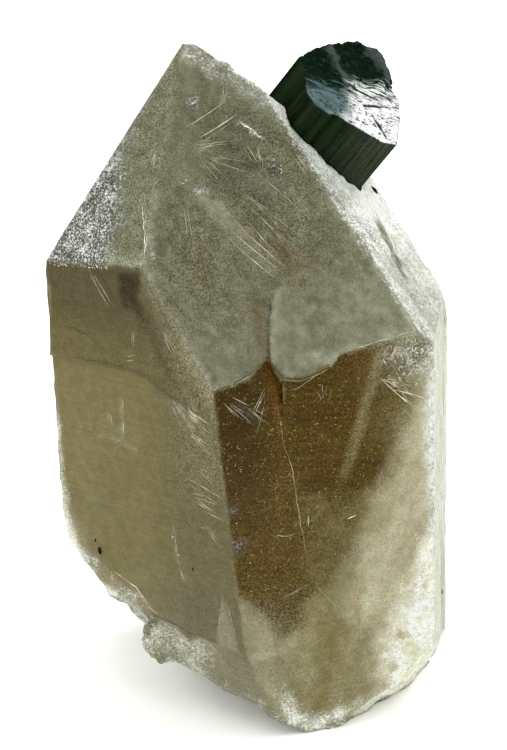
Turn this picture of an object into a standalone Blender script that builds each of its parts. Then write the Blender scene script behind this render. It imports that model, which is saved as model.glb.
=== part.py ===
"""Smoky quartz crystal with an elbaite crystal seated across one edge of its tip.

The quartz is a six-sided prism with a steep faceted tip. It is broken off below, and
stands on the flat underside of the break. Lengths are in millimetres until a mesh is
made, and angles are in degrees. Everything is shaped round the middle of the crystal,
with +X to the right, -Y towards the viewer and +Z up. The finished pieces then move
together, so that the middle of their bounding box's bottom lies at the origin.
"""

import math
import random

import bmesh
import bpy
from mathutils import Matrix, Vector, noise

MM = 0.001
BLOCK_SIDE = 130.0
FLOOR = -41.45

# Crystal faces: the azimuth that the face looks to (0 to the viewer, 90 to the right),
# the slope of its normal above level, and its distance from the middle of the crystal.
# Prism faces of quartz stand 60 degrees apart and those of the tip slope at 38 degrees;
# this crystal strays from that by a few degrees, as a real one does.
PRISM_FACES = {
    "front_left": (-42.0, -3.0, 21.7),
    "front_right": (21.0, 4.0, 22.0),
    "right": (81.5, 1.5, 25.3),
    "back_right": (137.5, -6.0, 20.6),
    "back": (199.0, -2.0, 20.5),
    "left": (-102.5, -2.0, 24.6),
}
TIP_FACES = {
    "tip_front": (15.5, 33.0, 22.4),
    "tip_front_left": (-47.5, 32.5, 29.9),
    "tip_left": (-102.5, 30.5, 30.7),
    "tip_back": (196.0, 40.0, 31.2),
    "tip_back_right": (137.5, 40.0, 31.0),
    "tip_ridge": (117.0, 51.0, 30.8),
    "tip_right_shoulder": (105.0, 26.0, 26.8),
}
# The narrow face right of the tip is rough, so it is cut with the broken ones below.
ROUGH_TIP_FACE = (72.0, 39.5, 26.0)
BREAK_FACES = {
    "left_flank": (-90.0, -10.0, 28.0),
    "left_heel": (-85.0, -38.0, 33.2),
    "front_left_foot": (-43.0, -18.0, 28.0),
    "foot_underside": (-57.0, -58.0, 38.9),
    "right_foot": (50.0, -43.5, 44.6),
    "right_flank": (70.0, -26.5, 38.8),
    "back_underside": (185.0, -38.0, 41.5),
}
# The hollow under the left flank: the space beyond these two faces is broken away.
NOTCH_FACES = ((-54.0, -47.0, 34.8), (-80.0, -25.0, 27.2))
ROUGH_CELL = 1.3
ROUGH_RELIEF = 0.4
TIP_GROOVE_RELIEF = 0.35
TIP_GROOVE_SPACING = 1.5

# Chips: the blunt point of the tip, and a hollow in the front right face under the tip.
POINT_CHIP = (60.0, 75.0, 41.4)
EDGE_HOLLOW_WALL = (34.0, 13.0, 20.0)
EDGE_HOLLOW_END = (105.0, 0.0, -2.0)

# A layer on a crystal face has its outline drawn on that face, x to the right and y up
# the face. It is thickest on the edge line and thins out to nothing at a second line.
PLATE_OUTLINE = (
    (-0.4, 5.9),
    (-1.1, 5.7),
    (-1.8, 5.0),
    (-2.4, 3.4),
    (-3.0, 1.2),
    (-3.5, -1.4),
    (-3.7, -4.2),
    (-3.2, -5.4),
    (-2.4, -6.7),
    (0.0, -7.0),
    (1.6, -6.5),
    (3.0, -6.1),
    (4.8, -5.3),
    (5.4, -4.4),
    (1.6, 5.2),
    (0.6, 5.8),
)
PLATE_THICKNESS = 0.75
PLATE_THICK_AT = (-3.6, -4.0)
PLATE_THIN_AT = (5.2, -4.4)
PLATE_THIN_TO = (1.4, 5.2)
LEDGE_OUTLINE = (
    (-15.6, 6.0),
    (-12.5, 6.4),
    (-9.0, 6.5),
    (-6.1, 6.9),
    (-2.0, 6.9),
    (1.1, 6.6),
    (5.4, 4.8),
    (10.4, 4.0),
    (10.8, 6.5),
    (9.5, 9.5),
    (-13.0, 17.5),
    (-15.6, 17.0),
)
LEDGE_THICKNESS = 0.35
LEDGE_THICK_AT = (0.0, 6.5)
LEDGE_THIN_AT = (-15.0, 16.5)
LEDGE_THIN_TO = (10.0, 8.0)
LAYER_ROOT = 3.0
LAYER_HEADROOM = 3.0

# The granular lump on the broken foot.
LUMP_AT = (-11.3, -14.0, -32.0)
LUMP_SIZE = (3.4, 2.6, 3.6)

# Elbaite: a short striated prism. Its outline is drawn across the prism, x to the lower
# right as the viewer sees it and y away from the viewer.
ELBAITE_AXIS = (52.0, 49.5)
ELBAITE_SPIN = -71.9
ELBAITE_END = (13.8, 4.5, 38.3)
ELBAITE_LENGTH = 22.0
ELBAITE_FOOT = (95.0, 45.0, 26.6)
ELBAITE_CORNERS = (
    (-8.4, -3.2),
    (-4.3, -9.0),
    (-2.9, -9.6),
    (-0.2, -9.3),
    (0.1, -8.5),
    (4.3, -7.2),
    (6.9, -6.4),
    (8.8, -4.6),
    (7.0, 0.6),
    (5.0, 4.1),
    (2.6, 7.0),
    (0.2, 9.3),
    (-1.8, 10.6),
    (-3.6, 9.0),
    (-5.3, 6.6),
    (-6.6, 3.2),
    (-7.9, 0.2),
)
STRIATION_PITCH = 0.5
STRIATION_RELIEF = 0.07
GAP = 0.3
# The end of the elbaite is flat on one side of a line, and etched into steps beyond it.
END_GRID = 34
END_REACH = 13.0
ETCH_SLOPE = 1.25
ETCH_OFFSET = 2.2
ETCH_DEPTH = 0.15
ETCH_RELIEF = 0.9

SMOKY_OLIVE = (0.19, 0.17, 0.095)
ELBAITE_GREEN = (0.008, 0.014, 0.009)


def direction(azimuth, slope):
    """Unit vector that looks to an azimuth and rises by a slope."""
    across, rise = math.radians(azimuth), math.radians(slope)
    level = math.cos(rise)
    return Vector((math.sin(across) * level, -math.cos(across) * level, math.sin(rise)))


def clip(mesh, normal, distance):
    """Cuts off what lies beyond a plane and closes the cut."""
    cut = bmesh.ops.bisect_plane(
        mesh,
        geom=mesh.verts[:] + mesh.edges[:] + mesh.faces[:],
        plane_co=normal * distance * MM,
        plane_no=normal,
        clear_outer=True,
    )
    rim = [item for item in cut["geom_cut"] if isinstance(item, bmesh.types.BMEdge)]
    if rim:
        bmesh.ops.edgeloop_fill(mesh, edges=rim)


def clipped_block(faces):
    """A large block cut down to the space behind all of the given faces."""
    mesh = bmesh.new()
    bmesh.ops.create_cube(mesh, size=BLOCK_SIDE * MM)
    for azimuth, slope, distance in faces:
        clip(mesh, direction(azimuth, slope), distance)
    bmesh.ops.recalc_face_normals(mesh, faces=mesh.faces)
    return mesh


def new_object(name, mesh, collection):
    """Turns a bmesh into an object."""
    data = bpy.data.meshes.new(name)
    mesh.to_mesh(data)
    mesh.free()
    made = bpy.data.objects.new(name, data)
    collection.objects.link(made)
    return made


def as_cutter(made):
    """Marks a helper that shapes another piece and isn't one itself."""
    made.hide_render = True
    made.display_type = "WIRE"
    return made


def add_boolean(target, cutter, operation):
    step = target.modifiers.new(cutter.name, "BOOLEAN")
    step.operation = operation
    step.solver = "EXACT"
    step.object = cutter


def evaluated_copy(source):
    """The mesh of an object with its modifiers applied."""
    graph = bpy.context.evaluated_depsgraph_get()
    return bpy.data.meshes.new_from_object(source.evaluated_get(graph))


def groove(point, along):
    """Steps that run down the rough tip face, as height over its plane."""
    across = point.dot(along)
    wave = across / (TIP_GROOVE_SPACING * MM)
    return noise.noise(Vector((wave, 3.7, 0.0))) + 0.5 * noise.noise(Vector((2.3 * wave, 9.1, 0.0)))


def in_cells(made):
    """Gives an object's surface an even mesh, fine enough to hold the relief of a break."""
    remesh = made.modifiers.new("Cells", "REMESH")
    remesh.mode = "VOXEL"
    remesh.voxel_size = ROUGH_CELL * MM
    fine = evaluated_copy(made)
    made.modifiers.clear()
    made.data = fine
    return fine


def fracture(place):
    """Height of a broken surface over its plane, in millimetres."""
    coarse = noise.noise(place / (9.0 * MM))
    fine_part = noise.noise(place / (3.0 * MM))
    return ROUGH_RELIEF * (1.6 * coarse + fine_part)


def make_rough_bounds(cutters):
    """The space behind the broken faces and the rough tip face, with their relief."""
    made = new_object("rough_bounds", clipped_block([ROUGH_TIP_FACE, *BREAK_FACES.values()]), cutters)
    fine = in_cells(made)
    tip_normal = direction(*ROUGH_TIP_FACE[:2])
    down_tip = Vector((0.0, 0.0, -1.0)) + tip_normal * tip_normal.z
    along = tip_normal.cross(down_tip).normalized()
    moves = []
    for vertex in fine.vertices:
        place = vertex.co
        if vertex.normal.dot(tip_normal) > 0.9:
            height = TIP_GROOVE_RELIEF * groove(place, along)
        else:
            height = fracture(place)
        moves.append(vertex.normal * height * MM)
    for vertex, move in zip(fine.vertices, moves):
        vertex.co += move
    return as_cutter(made)


def roughen(made):
    """Pushes an object's even mesh out and in by the relief of a break."""
    moves = [vertex.normal * fracture(vertex.co) * MM for vertex in made.data.vertices]
    for vertex, move in zip(made.data.vertices, moves):
        vertex.co += move


def make_notch(cutters):
    """The hollow that is broken out under the left flank."""
    outside = [(azimuth + 180.0, -slope, -distance) for azimuth, slope, distance in NOTCH_FACES]
    made = new_object("left_notch", clipped_block(outside), cutters)
    in_cells(made)
    roughen(made)
    return as_cutter(made)


def make_edge_hollow(cutters):
    """The shallow hollow under the growth plate, where the front right face dips in."""
    azimuth, slope, distance = EDGE_HOLLOW_WALL
    faces = [(azimuth + 180.0, -slope, -distance), EDGE_HOLLOW_END]
    return as_cutter(new_object("edge_hollow", clipped_block(faces), cutters))


def make_lump(cutters):
    mesh = bmesh.new()
    bmesh.ops.create_icosphere(mesh, subdivisions=4, radius=1.0)
    for vertex in mesh.verts:
        bulge = 1.0 + 0.22 * noise.noise(vertex.co * 2.2) + 0.1 * noise.noise(vertex.co * 5.0)
        size = Vector(LUMP_SIZE) * bulge
        place = Vector(c * s for c, s in zip(vertex.co, size))
        vertex.co = (Vector(LUMP_AT) + place) * MM
    return as_cutter(new_object("foot_lump", mesh, cutters))


def on_face(face, point, height=0.0):
    """A point given on a crystal face, as a place in space."""
    azimuth, slope, distance = face
    normal = direction(azimuth, slope)
    x_side = direction(azimuth + 90.0, 0.0)
    y_side = normal.cross(x_side)
    if y_side.z < 0.0:
        y_side.negate()
    return (normal * (distance + height) + x_side * point[0] + y_side * point[1]) * MM


def make_layer(name, face, outline, thickness, thick_at, thin_lines, cutters):
    """A thin layer of growth on a face, which thins out towards one side."""
    mesh = bmesh.new()
    ring = [mesh.verts.new(on_face(face, point, -LAYER_ROOT)) for point in outline]
    base = mesh.faces.new(ring)
    swept = bmesh.ops.extrude_face_region(mesh, geom=[base])
    lifted = [item for item in swept["geom"] if isinstance(item, bmesh.types.BMVert)]
    lift = direction(*face[:2]) * (LAYER_ROOT + LAYER_HEADROOM) * MM
    bmesh.ops.translate(mesh, verts=lifted, vec=lift)
    thin_a, thin_b = (on_face(face, point) for point in thin_lines)
    high = on_face(face, thick_at, thickness)
    normal = (thin_b - thin_a).cross(high - thin_a).normalized()
    if normal.dot(direction(*face[:2])) < 0.0:
        normal.negate()
    clip(mesh, normal, normal.dot(high) / MM)
    bmesh.ops.recalc_face_normals(mesh, faces=mesh.faces)
    return as_cutter(new_object(name, mesh, cutters))


def make_quartz(parts, cutters):
    faces = [*PRISM_FACES.values(), *TIP_FACES.values(), POINT_CHIP]
    mesh = clipped_block(faces)
    clip(mesh, Vector((0.0, 0.0, -1.0)), -FLOOR)
    bmesh.ops.recalc_face_normals(mesh, faces=mesh.faces)
    made = new_object("quartz_crystal", mesh, parts)
    front, left = TIP_FACES["tip_front"], PRISM_FACES["front_left"]
    plate = make_layer("growth_plate", front, PLATE_OUTLINE, PLATE_THICKNESS,
                       PLATE_THICK_AT, (PLATE_THIN_AT, PLATE_THIN_TO), cutters)
    ledge = make_layer("growth_ledge", left, LEDGE_OUTLINE, LEDGE_THICKNESS,
                       LEDGE_THICK_AT, (LEDGE_THIN_AT, LEDGE_THIN_TO), cutters)
    add_boolean(made, make_edge_hollow(cutters), "DIFFERENCE")
    add_boolean(made, plate, "UNION")
    add_boolean(made, ledge, "UNION")
    add_boolean(made, make_rough_bounds(cutters), "INTERSECT")
    add_boolean(made, make_notch(cutters), "DIFFERENCE")
    add_boolean(made, make_lump(cutters), "UNION")
    return made


def striated_outline(corners, grow=0.0):
    """Points round the prism, with the fine ridges that run along it."""
    chance = random.Random(4)
    points = []
    for start, end in zip(corners, corners[1:] + corners[:1]):
        a, b = Vector(start), Vector(end)
        side = b - a
        outward = Vector((side.y, -side.x)).normalized()
        count = max(2, round(side.length / STRIATION_PITCH))
        for step in range(count):
            ripple = STRIATION_RELIEF * chance.uniform(-1.0, 1.0) if step else 0.0
            points.append(a + side * step / count + outward * (grow + ripple))
    return points


def elbaite_frame():
    """The turn that stands a prism along the elbaite's axis."""
    azimuth, slope = ELBAITE_AXIS
    axis = direction(azimuth, slope)
    level = Vector((math.cos(math.radians(azimuth)), math.sin(math.radians(azimuth)), 0.0))
    turn = Matrix.Rotation(math.radians(ELBAITE_SPIN), 3, axis)
    x_side = turn @ level
    y_side = axis.cross(x_side)
    return Matrix((x_side, y_side, axis)).transposed()


def prism(outline, top, bottom):
    """A prism along the elbaite's axis, between two heights from its end."""
    frame = elbaite_frame()
    end = Vector(ELBAITE_END)
    mesh = bmesh.new()
    ring = [mesh.verts.new((end + frame @ Vector((p.x, p.y, bottom))) * MM) for p in outline]
    base = mesh.faces.new(ring)
    swept = bmesh.ops.extrude_face_region(mesh, geom=[base])
    lifted = [item for item in swept["geom"] if isinstance(item, bmesh.types.BMVert)]
    bmesh.ops.translate(mesh, verts=lifted, vec=frame @ Vector((0.0, 0.0, top - bottom)) * MM)
    bmesh.ops.recalc_face_normals(mesh, faces=mesh.faces)
    return mesh


def etched(x, y):
    """Height of the elbaite's end at a point across it: flat, then stepped."""
    beyond = (y - ETCH_SLOPE * x + ETCH_OFFSET) / math.hypot(1.0, ETCH_SLOPE)
    if beyond < 0.0:
        return 0.0
    share = min(beyond / 2.0, 1.0)
    steps = noise.noise(Vector((x / 2.6 + y / 9.0, y / 5.0, 1.3)))
    steps += 0.5 * noise.noise(Vector((x / 1.1, y / 1.6, 7.7)))
    return -ETCH_DEPTH * share + ETCH_RELIEF * share * (round(steps * 4.0) / 4.0)


def make_end_bounds(cutters):
    """The space below the elbaite's etched end."""
    frame = elbaite_frame()
    mesh = bmesh.new()
    bmesh.ops.create_grid(mesh, x_segments=END_GRID, y_segments=END_GRID, size=END_REACH)
    top = mesh.verts[:]
    swept = bmesh.ops.extrude_face_region(mesh, geom=mesh.faces[:])
    lifted = {item for item in swept["geom"] if isinstance(item, bmesh.types.BMVert)}
    for vertex in mesh.verts:
        x, y, _ = vertex.co
        height = etched(x, y) if vertex in lifted else -ELBAITE_LENGTH - 5.0
        vertex.co = (Vector(ELBAITE_END) + frame @ Vector((x, y, height))) * MM
    bmesh.ops.recalc_face_normals(mesh, faces=mesh.faces)
    return as_cutter(new_object("elbaite_end", mesh, cutters))


def make_elbaite(parts, cutters):
    mesh = prism(striated_outline(ELBAITE_CORNERS), 2.0, -ELBAITE_LENGTH)
    azimuth, slope, distance = ELBAITE_FOOT
    clip(mesh, -direction(azimuth, slope), -distance)
    bmesh.ops.recalc_face_normals(mesh, faces=mesh.faces)
    made = new_object("elbaite_crystal", mesh, parts)
    add_boolean(made, make_end_bounds(cutters), "INTERSECT")
    return made


def make_socket(cutters):
    """The hollow in the quartz that the elbaite's foot sits in."""
    corners = [Vector(c) for c in ELBAITE_CORNERS]
    grown = [tuple(c * (1.0 + (GAP + STRIATION_RELIEF) / c.length)) for c in corners]
    mesh = prism([Vector(c) for c in grown], 5.0, -ELBAITE_LENGTH)
    azimuth, slope, distance = ELBAITE_FOOT
    clip(mesh, -direction(azimuth, slope), -(distance - GAP))
    bmesh.ops.recalc_face_normals(mesh, faces=mesh.faces)
    return as_cutter(new_object("elbaite_socket", mesh, cutters))


def paint(made, colour, roughness, transmission):
    """Gives a piece its own material."""
    material = bpy.data.materials.new(made.name)
    material.use_nodes = True
    shader = material.node_tree.nodes["Principled BSDF"]
    shader.inputs["Base Color"].default_value = (*colour, 1.0)
    shader.inputs["Roughness"].default_value = roughness
    shader.inputs["Metallic"].default_value = 0.0
    shader.inputs["Transmission Weight"].default_value = transmission
    made.data.materials.append(material)
    material.diffuse_color = (*colour, 1.0)


def stand_on_origin(parts, cutters):
    """Moves everything so that the bottom middle of the pieces' bounding box is the origin."""
    corners = []
    for made in parts.objects:
        corners.extend(vertex.co.copy() for vertex in evaluated_copy(made).vertices)
    low = Vector(min(corner[i] for corner in corners) for i in range(3))
    high = Vector(max(corner[i] for corner in corners) for i in range(3))
    middle = (low + high) / 2.0
    for made in [*parts.objects, *cutters.objects]:
        made.location = (-middle.x, -middle.y, -low.z)


def main():
    for old in list(bpy.data.objects):
        bpy.data.objects.remove(old, do_unlink=True)
    parts = bpy.data.collections.new("smoky_quartz_with_elbaite")
    cutters = bpy.data.collections.new("cutters")
    bpy.context.scene.collection.children.link(parts)
    bpy.context.scene.collection.children.link(cutters)
    quartz = make_quartz(parts, cutters)
    elbaite = make_elbaite(parts, cutters)
    add_boolean(quartz, make_socket(cutters), "DIFFERENCE")
    paint(quartz, SMOKY_OLIVE, 0.2, 0.4)
    paint(elbaite, ELBAITE_GREEN, 0.12, 0.0)
    stand_on_origin(parts, cutters)


main()
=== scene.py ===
"""Looks of the smoky quartz with elbaite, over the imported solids.

Lengths are in millimetres where a name or comment doesn't say otherwise. Points on the
crystals are measured from the quartz's middle, or on a face: x to its right and y up it.
"""

import itertools
import math
import random

import bpy
import numpy as np
from mathutils import Matrix, Vector
from mathutils.bvhtree import BVHTree


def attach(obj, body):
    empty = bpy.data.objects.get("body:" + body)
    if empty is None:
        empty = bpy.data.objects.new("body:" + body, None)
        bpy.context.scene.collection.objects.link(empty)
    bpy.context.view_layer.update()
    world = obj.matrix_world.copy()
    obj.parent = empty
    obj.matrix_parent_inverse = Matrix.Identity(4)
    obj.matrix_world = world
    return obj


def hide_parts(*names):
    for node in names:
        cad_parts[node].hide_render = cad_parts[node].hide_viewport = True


MM = 0.001
MIDDLE = Vector((0.41, 0.69, 41.45))
FLOOR_LEVEL = -41.45

# Faces of the quartz: azimuth, slope and distance from the middle, as in the solids.
FACES = {
    "front_left": (-42, -3, 21.7),
    "front_right": (21, 4, 22),
    "right": (81.5, 1.5, 25.3),
    "back_right": (137.5, -6, 20.6),
    "back": (199, -2, 20.5),
    "left": (-102.5, -2, 24.6),
    "tip_front": (15.5, 33, 22.4),
    "tip_front_left": (-47.5, 32.5, 29.9),
    "tip_left": (-102.5, 30.5, 30.7),
    "tip_back": (196, 40, 31.2),
    "tip_back_right": (137.5, 40, 31),
    "tip_ridge": (117, 51, 30.8),
    "tip_right_shoulder": (105, 26, 26.8),
    "rough_tip": (72, 39.5, 26),
    "floor": (0, -90, -FLOOR_LEVEL),
}
PRISM_FACES = ("front_left", "front_right", "right", "back", "left", "back_right")
BREAK_TOP = -14
KNOBS_DISTANCE = 30.6
ELBAITE_AXIS = (52, 49.5)
ELBAITE_SPIN = -71.9
ELBAITE_SLANT = 27
ELBAITE_END = Vector((13.8, 4.5, 38.3))

# Even meshes: how often the box around a solid is halved, and the share of it in use.
QUARTZ_MESH = (8, 0.78)
ELBAITE_MESH = (7, 0.9)
# Edges sharper than these angles stay sharp.
QUARTZ_SHARP = 34
ELBAITE_SHARP = 38

# The camera looks down at the crystal's middle.
CAMERA_RISE = 18
CAMERA_DISTANCE = 420
FOCAL_PIXELS = 3134
PHOTO_HEIGHT = 750
SENSOR = 36

# Floor and lamp, in metres and watts.
FLOOR_HALF = 1.6
LAMP_DISTANCE = 0.45
LAMP_SIDE = 0.16
LAMP_POWER = 0.76


def direction(azimuth, slope):
    """Unit vector that looks to an azimuth (0 to the viewer, 90 right) and rises by a slope."""
    across, rise = math.radians(azimuth), math.radians(slope)
    level = math.cos(rise)
    return Vector((math.sin(across) * level, -math.cos(across) * level, math.sin(rise)))


def face_axes(name):
    """A face's normal, its level direction to the right and its direction up."""
    azimuth, slope, _ = FACES[name]
    normal = direction(azimuth, slope)
    x_side = direction(azimuth + 90, 0)
    y_side = normal.cross(x_side)
    if y_side.z < 0:
        y_side.negate()
    return normal, x_side, y_side


def on_face(name, x, y, height=0):
    """The point over a place on a face."""
    normal, x_side, y_side = face_axes(name)
    return normal * (FACES[name][2] + height) + x_side * x + y_side * y


# Number tools


def smooth(low, high, value):
    """0 below low and 1 above high, with an even turn between them."""
    share = np.clip((value - low) / (high - low), 0, 1)
    return share * share * (3 - 2 * share)


def blob(x, y, at, size, turn=0):
    """A soft spot: 1 in its middle, fading out at about its size."""
    c, s = math.cos(math.radians(turn)), math.sin(math.radians(turn))
    dx, dy = x - at[0], y - at[1]
    u = (c * dx + s * dy) / size[0]
    v = (-s * dx + c * dy) / size[1]
    return np.exp(-1.2 * (u * u + v * v))


def spots(x, y, rows):
    """Soft spots added up. A row has a strength, a middle, a size and sometimes a turn."""
    return sum(strength * blob(x, y, *shape) for strength, *shape in rows)


def depth_inside(x, y, outline):
    """Distance into an outline, and below nothing outside it."""
    best = np.full(np.shape(x), 1e9)
    inside = np.zeros(np.shape(x), bool)
    for (ax, ay), (bx, by) in zip(outline, outline[1:] + outline[:1]):
        best = np.minimum(best, off_line(x, y, (ax, ay), (bx, by)))
        crosses = (ay > y) != (by > y)
        with np.errstate(divide="ignore", invalid="ignore"):
            hit = x < (bx - ax) * (y - ay) / (by - ay) + ax
        inside ^= crosses & hit
    return np.where(inside, best, -best)


def off_line(x, y, a, b):
    """Distance to a straight line between two points."""
    ex, ey = b[0] - a[0], b[1] - a[1]
    share = np.clip(((x - a[0]) * ex + (y - a[1]) * ey) / (ex * ex + ey * ey), 0, 1)
    return np.hypot(x - a[0] - share * ex, y - a[1] - share * ey)


def off_path(x, y, path):
    """Distance to a line with corners."""
    return np.min([off_line(x, y, a, b) for a, b in zip(path, path[1:])], axis=0)


def lattice(ix, iy, iz, seed):
    """A repeatable number from -1 to 1 for each whole-numbered place."""
    h = (ix * 374761393 + iy * 668265263 + iz * 1440670441 + seed * 974711) & 0xFFFFFFFF
    h = ((h ^ (h >> 13)) * 1274126177) & 0xFFFFFFFF
    return ((h ^ (h >> 16)) & 0xFFFF) / 32767.5 - 1


def grain(p, size, seed=0):
    """Smooth noise from -1 to 1, with features about as wide as size."""
    q = p / np.asarray(size)
    cell = np.floor(q).astype(np.int64)
    f = q - cell
    f = f * f * (3 - 2 * f)
    total = 0
    for step in itertools.product((0, 1), repeat=3):
        wx, wy, wz = np.where(step, f, 1 - f).T
        total = total + wx * wy * wz * lattice(*(cell + step).T, seed)
    return total


def wavy(x, y, size, seed):
    """Noise over a face, for uneven borders."""
    c, s = math.cos(0.6), math.sin(0.6)
    place = np.stack([c * x - s * y, s * x + c * y, 0 * x], axis=1)
    return (
        0.62 * grain(place, size, seed)
        + 0.32 * grain(place, size / 2.1, seed + 100)
        + 0.2 * grain(place, size / 4.3, seed + 200)
    )


def streaky(x, y, lean, stretch, size, seed):
    """Noise drawn out along a slanting direction, given by its cosine and sine."""
    c, s = lean
    return wavy((c * x - s * y) * stretch[0], (s * x + c * y) * stretch[1], size, seed)


def patch(x, y, outline, low, high, stray, size, seed):
    """A share that grows from 0 to 1 between two depths in an outline with an uneven border."""
    return smooth(low, high, depth_inside(x, y, outline) + stray * wavy(x, y, size, seed))


# Mesh tools


def new_object(name, data):
    made = bpy.data.objects.new(name, data)
    bpy.context.scene.collection.objects.link(made)
    return made


def add_piece(name, mesh, material):
    made = new_object(name, mesh)
    mesh.materials.clear()
    mesh.materials.append(material)
    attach(made, "root")
    return made


def even_copy(node, name, depth, scale):
    """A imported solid's surface as an even mesh that keeps its sharp edges."""
    made = new_object(name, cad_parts[node].data.copy())
    weld = made.modifiers.new("Weld", "WELD")
    weld.merge_threshold = 1e-6
    remesh = made.modifiers.new("Even", "REMESH")
    remesh.mode = "SHARP"
    remesh.octree_depth = depth
    remesh.scale = scale
    remesh.sharpness = 1
    remesh.use_remove_disconnected = False
    graph = bpy.context.evaluated_depsgraph_get()
    mesh = bpy.data.meshes.new_from_object(made.evaluated_get(graph))
    bpy.data.objects.remove(made, do_unlink=True)
    mesh.name = name
    return mesh


def points_of(mesh):
    """A mesh's points, from the quartz's middle."""
    co = np.empty(len(mesh.vertices) * 3)
    mesh.vertices.foreach_get("co", co)
    return co.reshape(-1, 3) / MM - np.array(MIDDLE)


def normals_of(mesh):
    normal = np.empty(len(mesh.vertices) * 3)
    mesh.vertex_normals.foreach_get("vector", normal)
    return normal.reshape(-1, 3)


def put_points(mesh, points):
    mesh.vertices.foreach_set("co", ((points + np.array(MIDDLE)) * MM).ravel())
    mesh.update()


def put_values(mesh, **layers):
    for name, values in layers.items():
        layer = mesh.attributes.new(name, "FLOAT", "POINT")
        layer.data.foreach_set("value", np.asarray(values, np.float32))


def smooth_shade(mesh, angle):
    """Smooth shading that keeps edges sharper than an angle."""
    mesh.shade_smooth()
    mesh.set_sharp_from_angle(angle=math.radians(angle))


# Shader tools


class Graph:
    """Short ways to write shader nodes."""

    def __init__(self, tree):
        self.tree = tree

    def node(self, kind, **settings):
        made = self.tree.nodes.new(kind)
        for key, value in settings.items():
            setattr(made, key, value)
        return made

    def link(self, source, target):
        if isinstance(source, (int, float)):
            target.default_value = source
        elif isinstance(source, tuple):
            target.default_value = (*source, 1) if len(target.default_value) == 4 else source
        else:
            self.tree.links.new(source, target)

    def math(self, operation, *sources):
        made = self.node("ShaderNodeMath", operation=operation)
        for source, target in zip(sources, made.inputs):
            self.link(source, target)
        return made.outputs[0]

    def times(self, first, *factors):
        for factor in factors:
            first = self.math("MULTIPLY", first, factor)
        return first

    def plus(self, a, b):
        return self.math("ADD", a, b)

    def minus(self, a, b):
        return self.math("SUBTRACT", a, b)

    def larger(self, a, b):
        return self.math("MAXIMUM", a, b)

    def smaller(self, a, b):
        return self.math("MINIMUM", a, b)

    def span(self, value, low, high, to_low=0, to_high=1):
        made = self.node("ShaderNodeMapRange", interpolation_type="SMOOTHSTEP")
        sources = (value, low, high, to_low, to_high)
        for source, key in zip(sources, ("Value", "From Min", "From Max", "To Min", "To Max")):
            self.link(source, made.inputs[key])
        return made.outputs[0]

    def mix(self, a, b, share):
        made = self.node("ShaderNodeMix", data_type="RGBA")
        self.link(share, made.inputs["Factor"])
        self.link(a, made.inputs[6])
        self.link(b, made.inputs[7])
        return made.outputs[2]

    def scale(self, colour, factor):
        made = self.node("ShaderNodeVectorMath", operation="SCALE")
        self.link(colour, made.inputs[0])
        self.link(factor, made.inputs["Scale"])
        return made.outputs[0]

    def lift(self, colour, share):
        """A colour made lighter by a share of itself."""
        return self.scale(colour, self.plus(1, share))

    def no_brighter(self, colour, most):
        made = self.node("ShaderNodeVectorMath", operation="MINIMUM")
        self.link(colour, made.inputs[0])
        self.link(most, made.inputs[1])
        return made.outputs[0]


class Surface(Graph):
    """A material's nodes. Lengths inside are in millimetres."""

    def __init__(self, name):
        self.material = bpy.data.materials.new(name)
        self.material.use_nodes = True
        super().__init__(self.material.node_tree)
        self.shader = self.tree.nodes["Principled BSDF"]
        self.output = self.tree.nodes["Material Output"]
        self.place = self.scale(self.node("ShaderNodeTexCoord").outputs["Object"], 1 / MM)

    def value(self, name):
        return self.node("ShaderNodeAttribute", attribute_name=name).outputs["Fac"]

    def stretched(self, stretch, turn=(0, 0, 0)):
        """The place seen from a turned frame, scaled apart along that frame's axes."""
        made = self.node("ShaderNodeMapping", vector_type="TEXTURE")
        self.link(self.place, made.inputs["Vector"])
        made.inputs["Rotation"].default_value = turn
        made.inputs["Scale"].default_value = [1 / s for s in stretch]
        return made.outputs[0]

    def noise(self, scale, detail=2, place=None, roughness=0.55):
        made = self.node("ShaderNodeTexNoise")
        self.link(place or self.place, made.inputs["Vector"])
        made.inputs["Scale"].default_value = scale
        made.inputs["Detail"].default_value = detail
        made.inputs["Roughness"].default_value = roughness
        return made.outputs["Fac"]

    def bump(self, height, distance, strength=1, normal=None):
        """Surface relief: a height from 0 to 1 stands for a distance."""
        made = self.node("ShaderNodeBump")
        self.link(height, made.inputs["Height"])
        made.inputs["Distance"].default_value = distance * MM
        made.inputs["Strength"].default_value = strength
        if normal is not None:
            self.link(normal, made.inputs["Normal"])
        return made.outputs[0]

    def set(self, **sockets):
        for name, value in sockets.items():
            self.link(value, self.shader.inputs[name.replace("_", " ")])

    def absorb(self, colour, density):
        volume = self.node("ShaderNodeVolumeAbsorption")
        volume.inputs["Color"].default_value = (*colour, 1)
        volume.inputs["Density"].default_value = density
        self.link(volume.outputs[0], self.output.inputs["Volume"])


# Outlines and spots on the faces, for the differences of tone inside the quartz.
WINDOW = [
    (-17, 13), (9.6, 13), (11.6, 7), (12.4, 4), (12.6, 0), (11.4, -5),
    (10.2, -8.6), (7.3, -11.6), (6, -15), (4.8, -19), (2, -22.5), (0.2, -23),
    (-1.5, -25), (-3, -28.5), (-5.5, -29), (-8, -26), (-10.4, -23.2), (-17, -22),
]
HAZE = [(-1.9, -12), (8, -11.5), (6.5, -16), (4.5, -22), (0.5, -24), (-1.6, -22)]
VEIL = ((3.6, -9.5), (5, -6), (6.7, -1), (8, 3.5), (9.4, 7))
MILKY_SIDE = [
    (16.4, 1), (17.8, 3), (17.8, -34), (12, -39), (9, -36), (10.6, -30),
    (7, -26.5), (7.2, -20), (10, -12), (14.6, -4.5),
]
LOW_PATCH = [(-11, -24), (-6, -26), (-2.8, -28.5), (-4.5, -31.5), (-11, -31.5)]
FROSTED_FOOT = [
    (11, -38), (10, -33.5), (13, -28), (15.5, -21), (18, -21), (18, -40),
]
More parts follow.
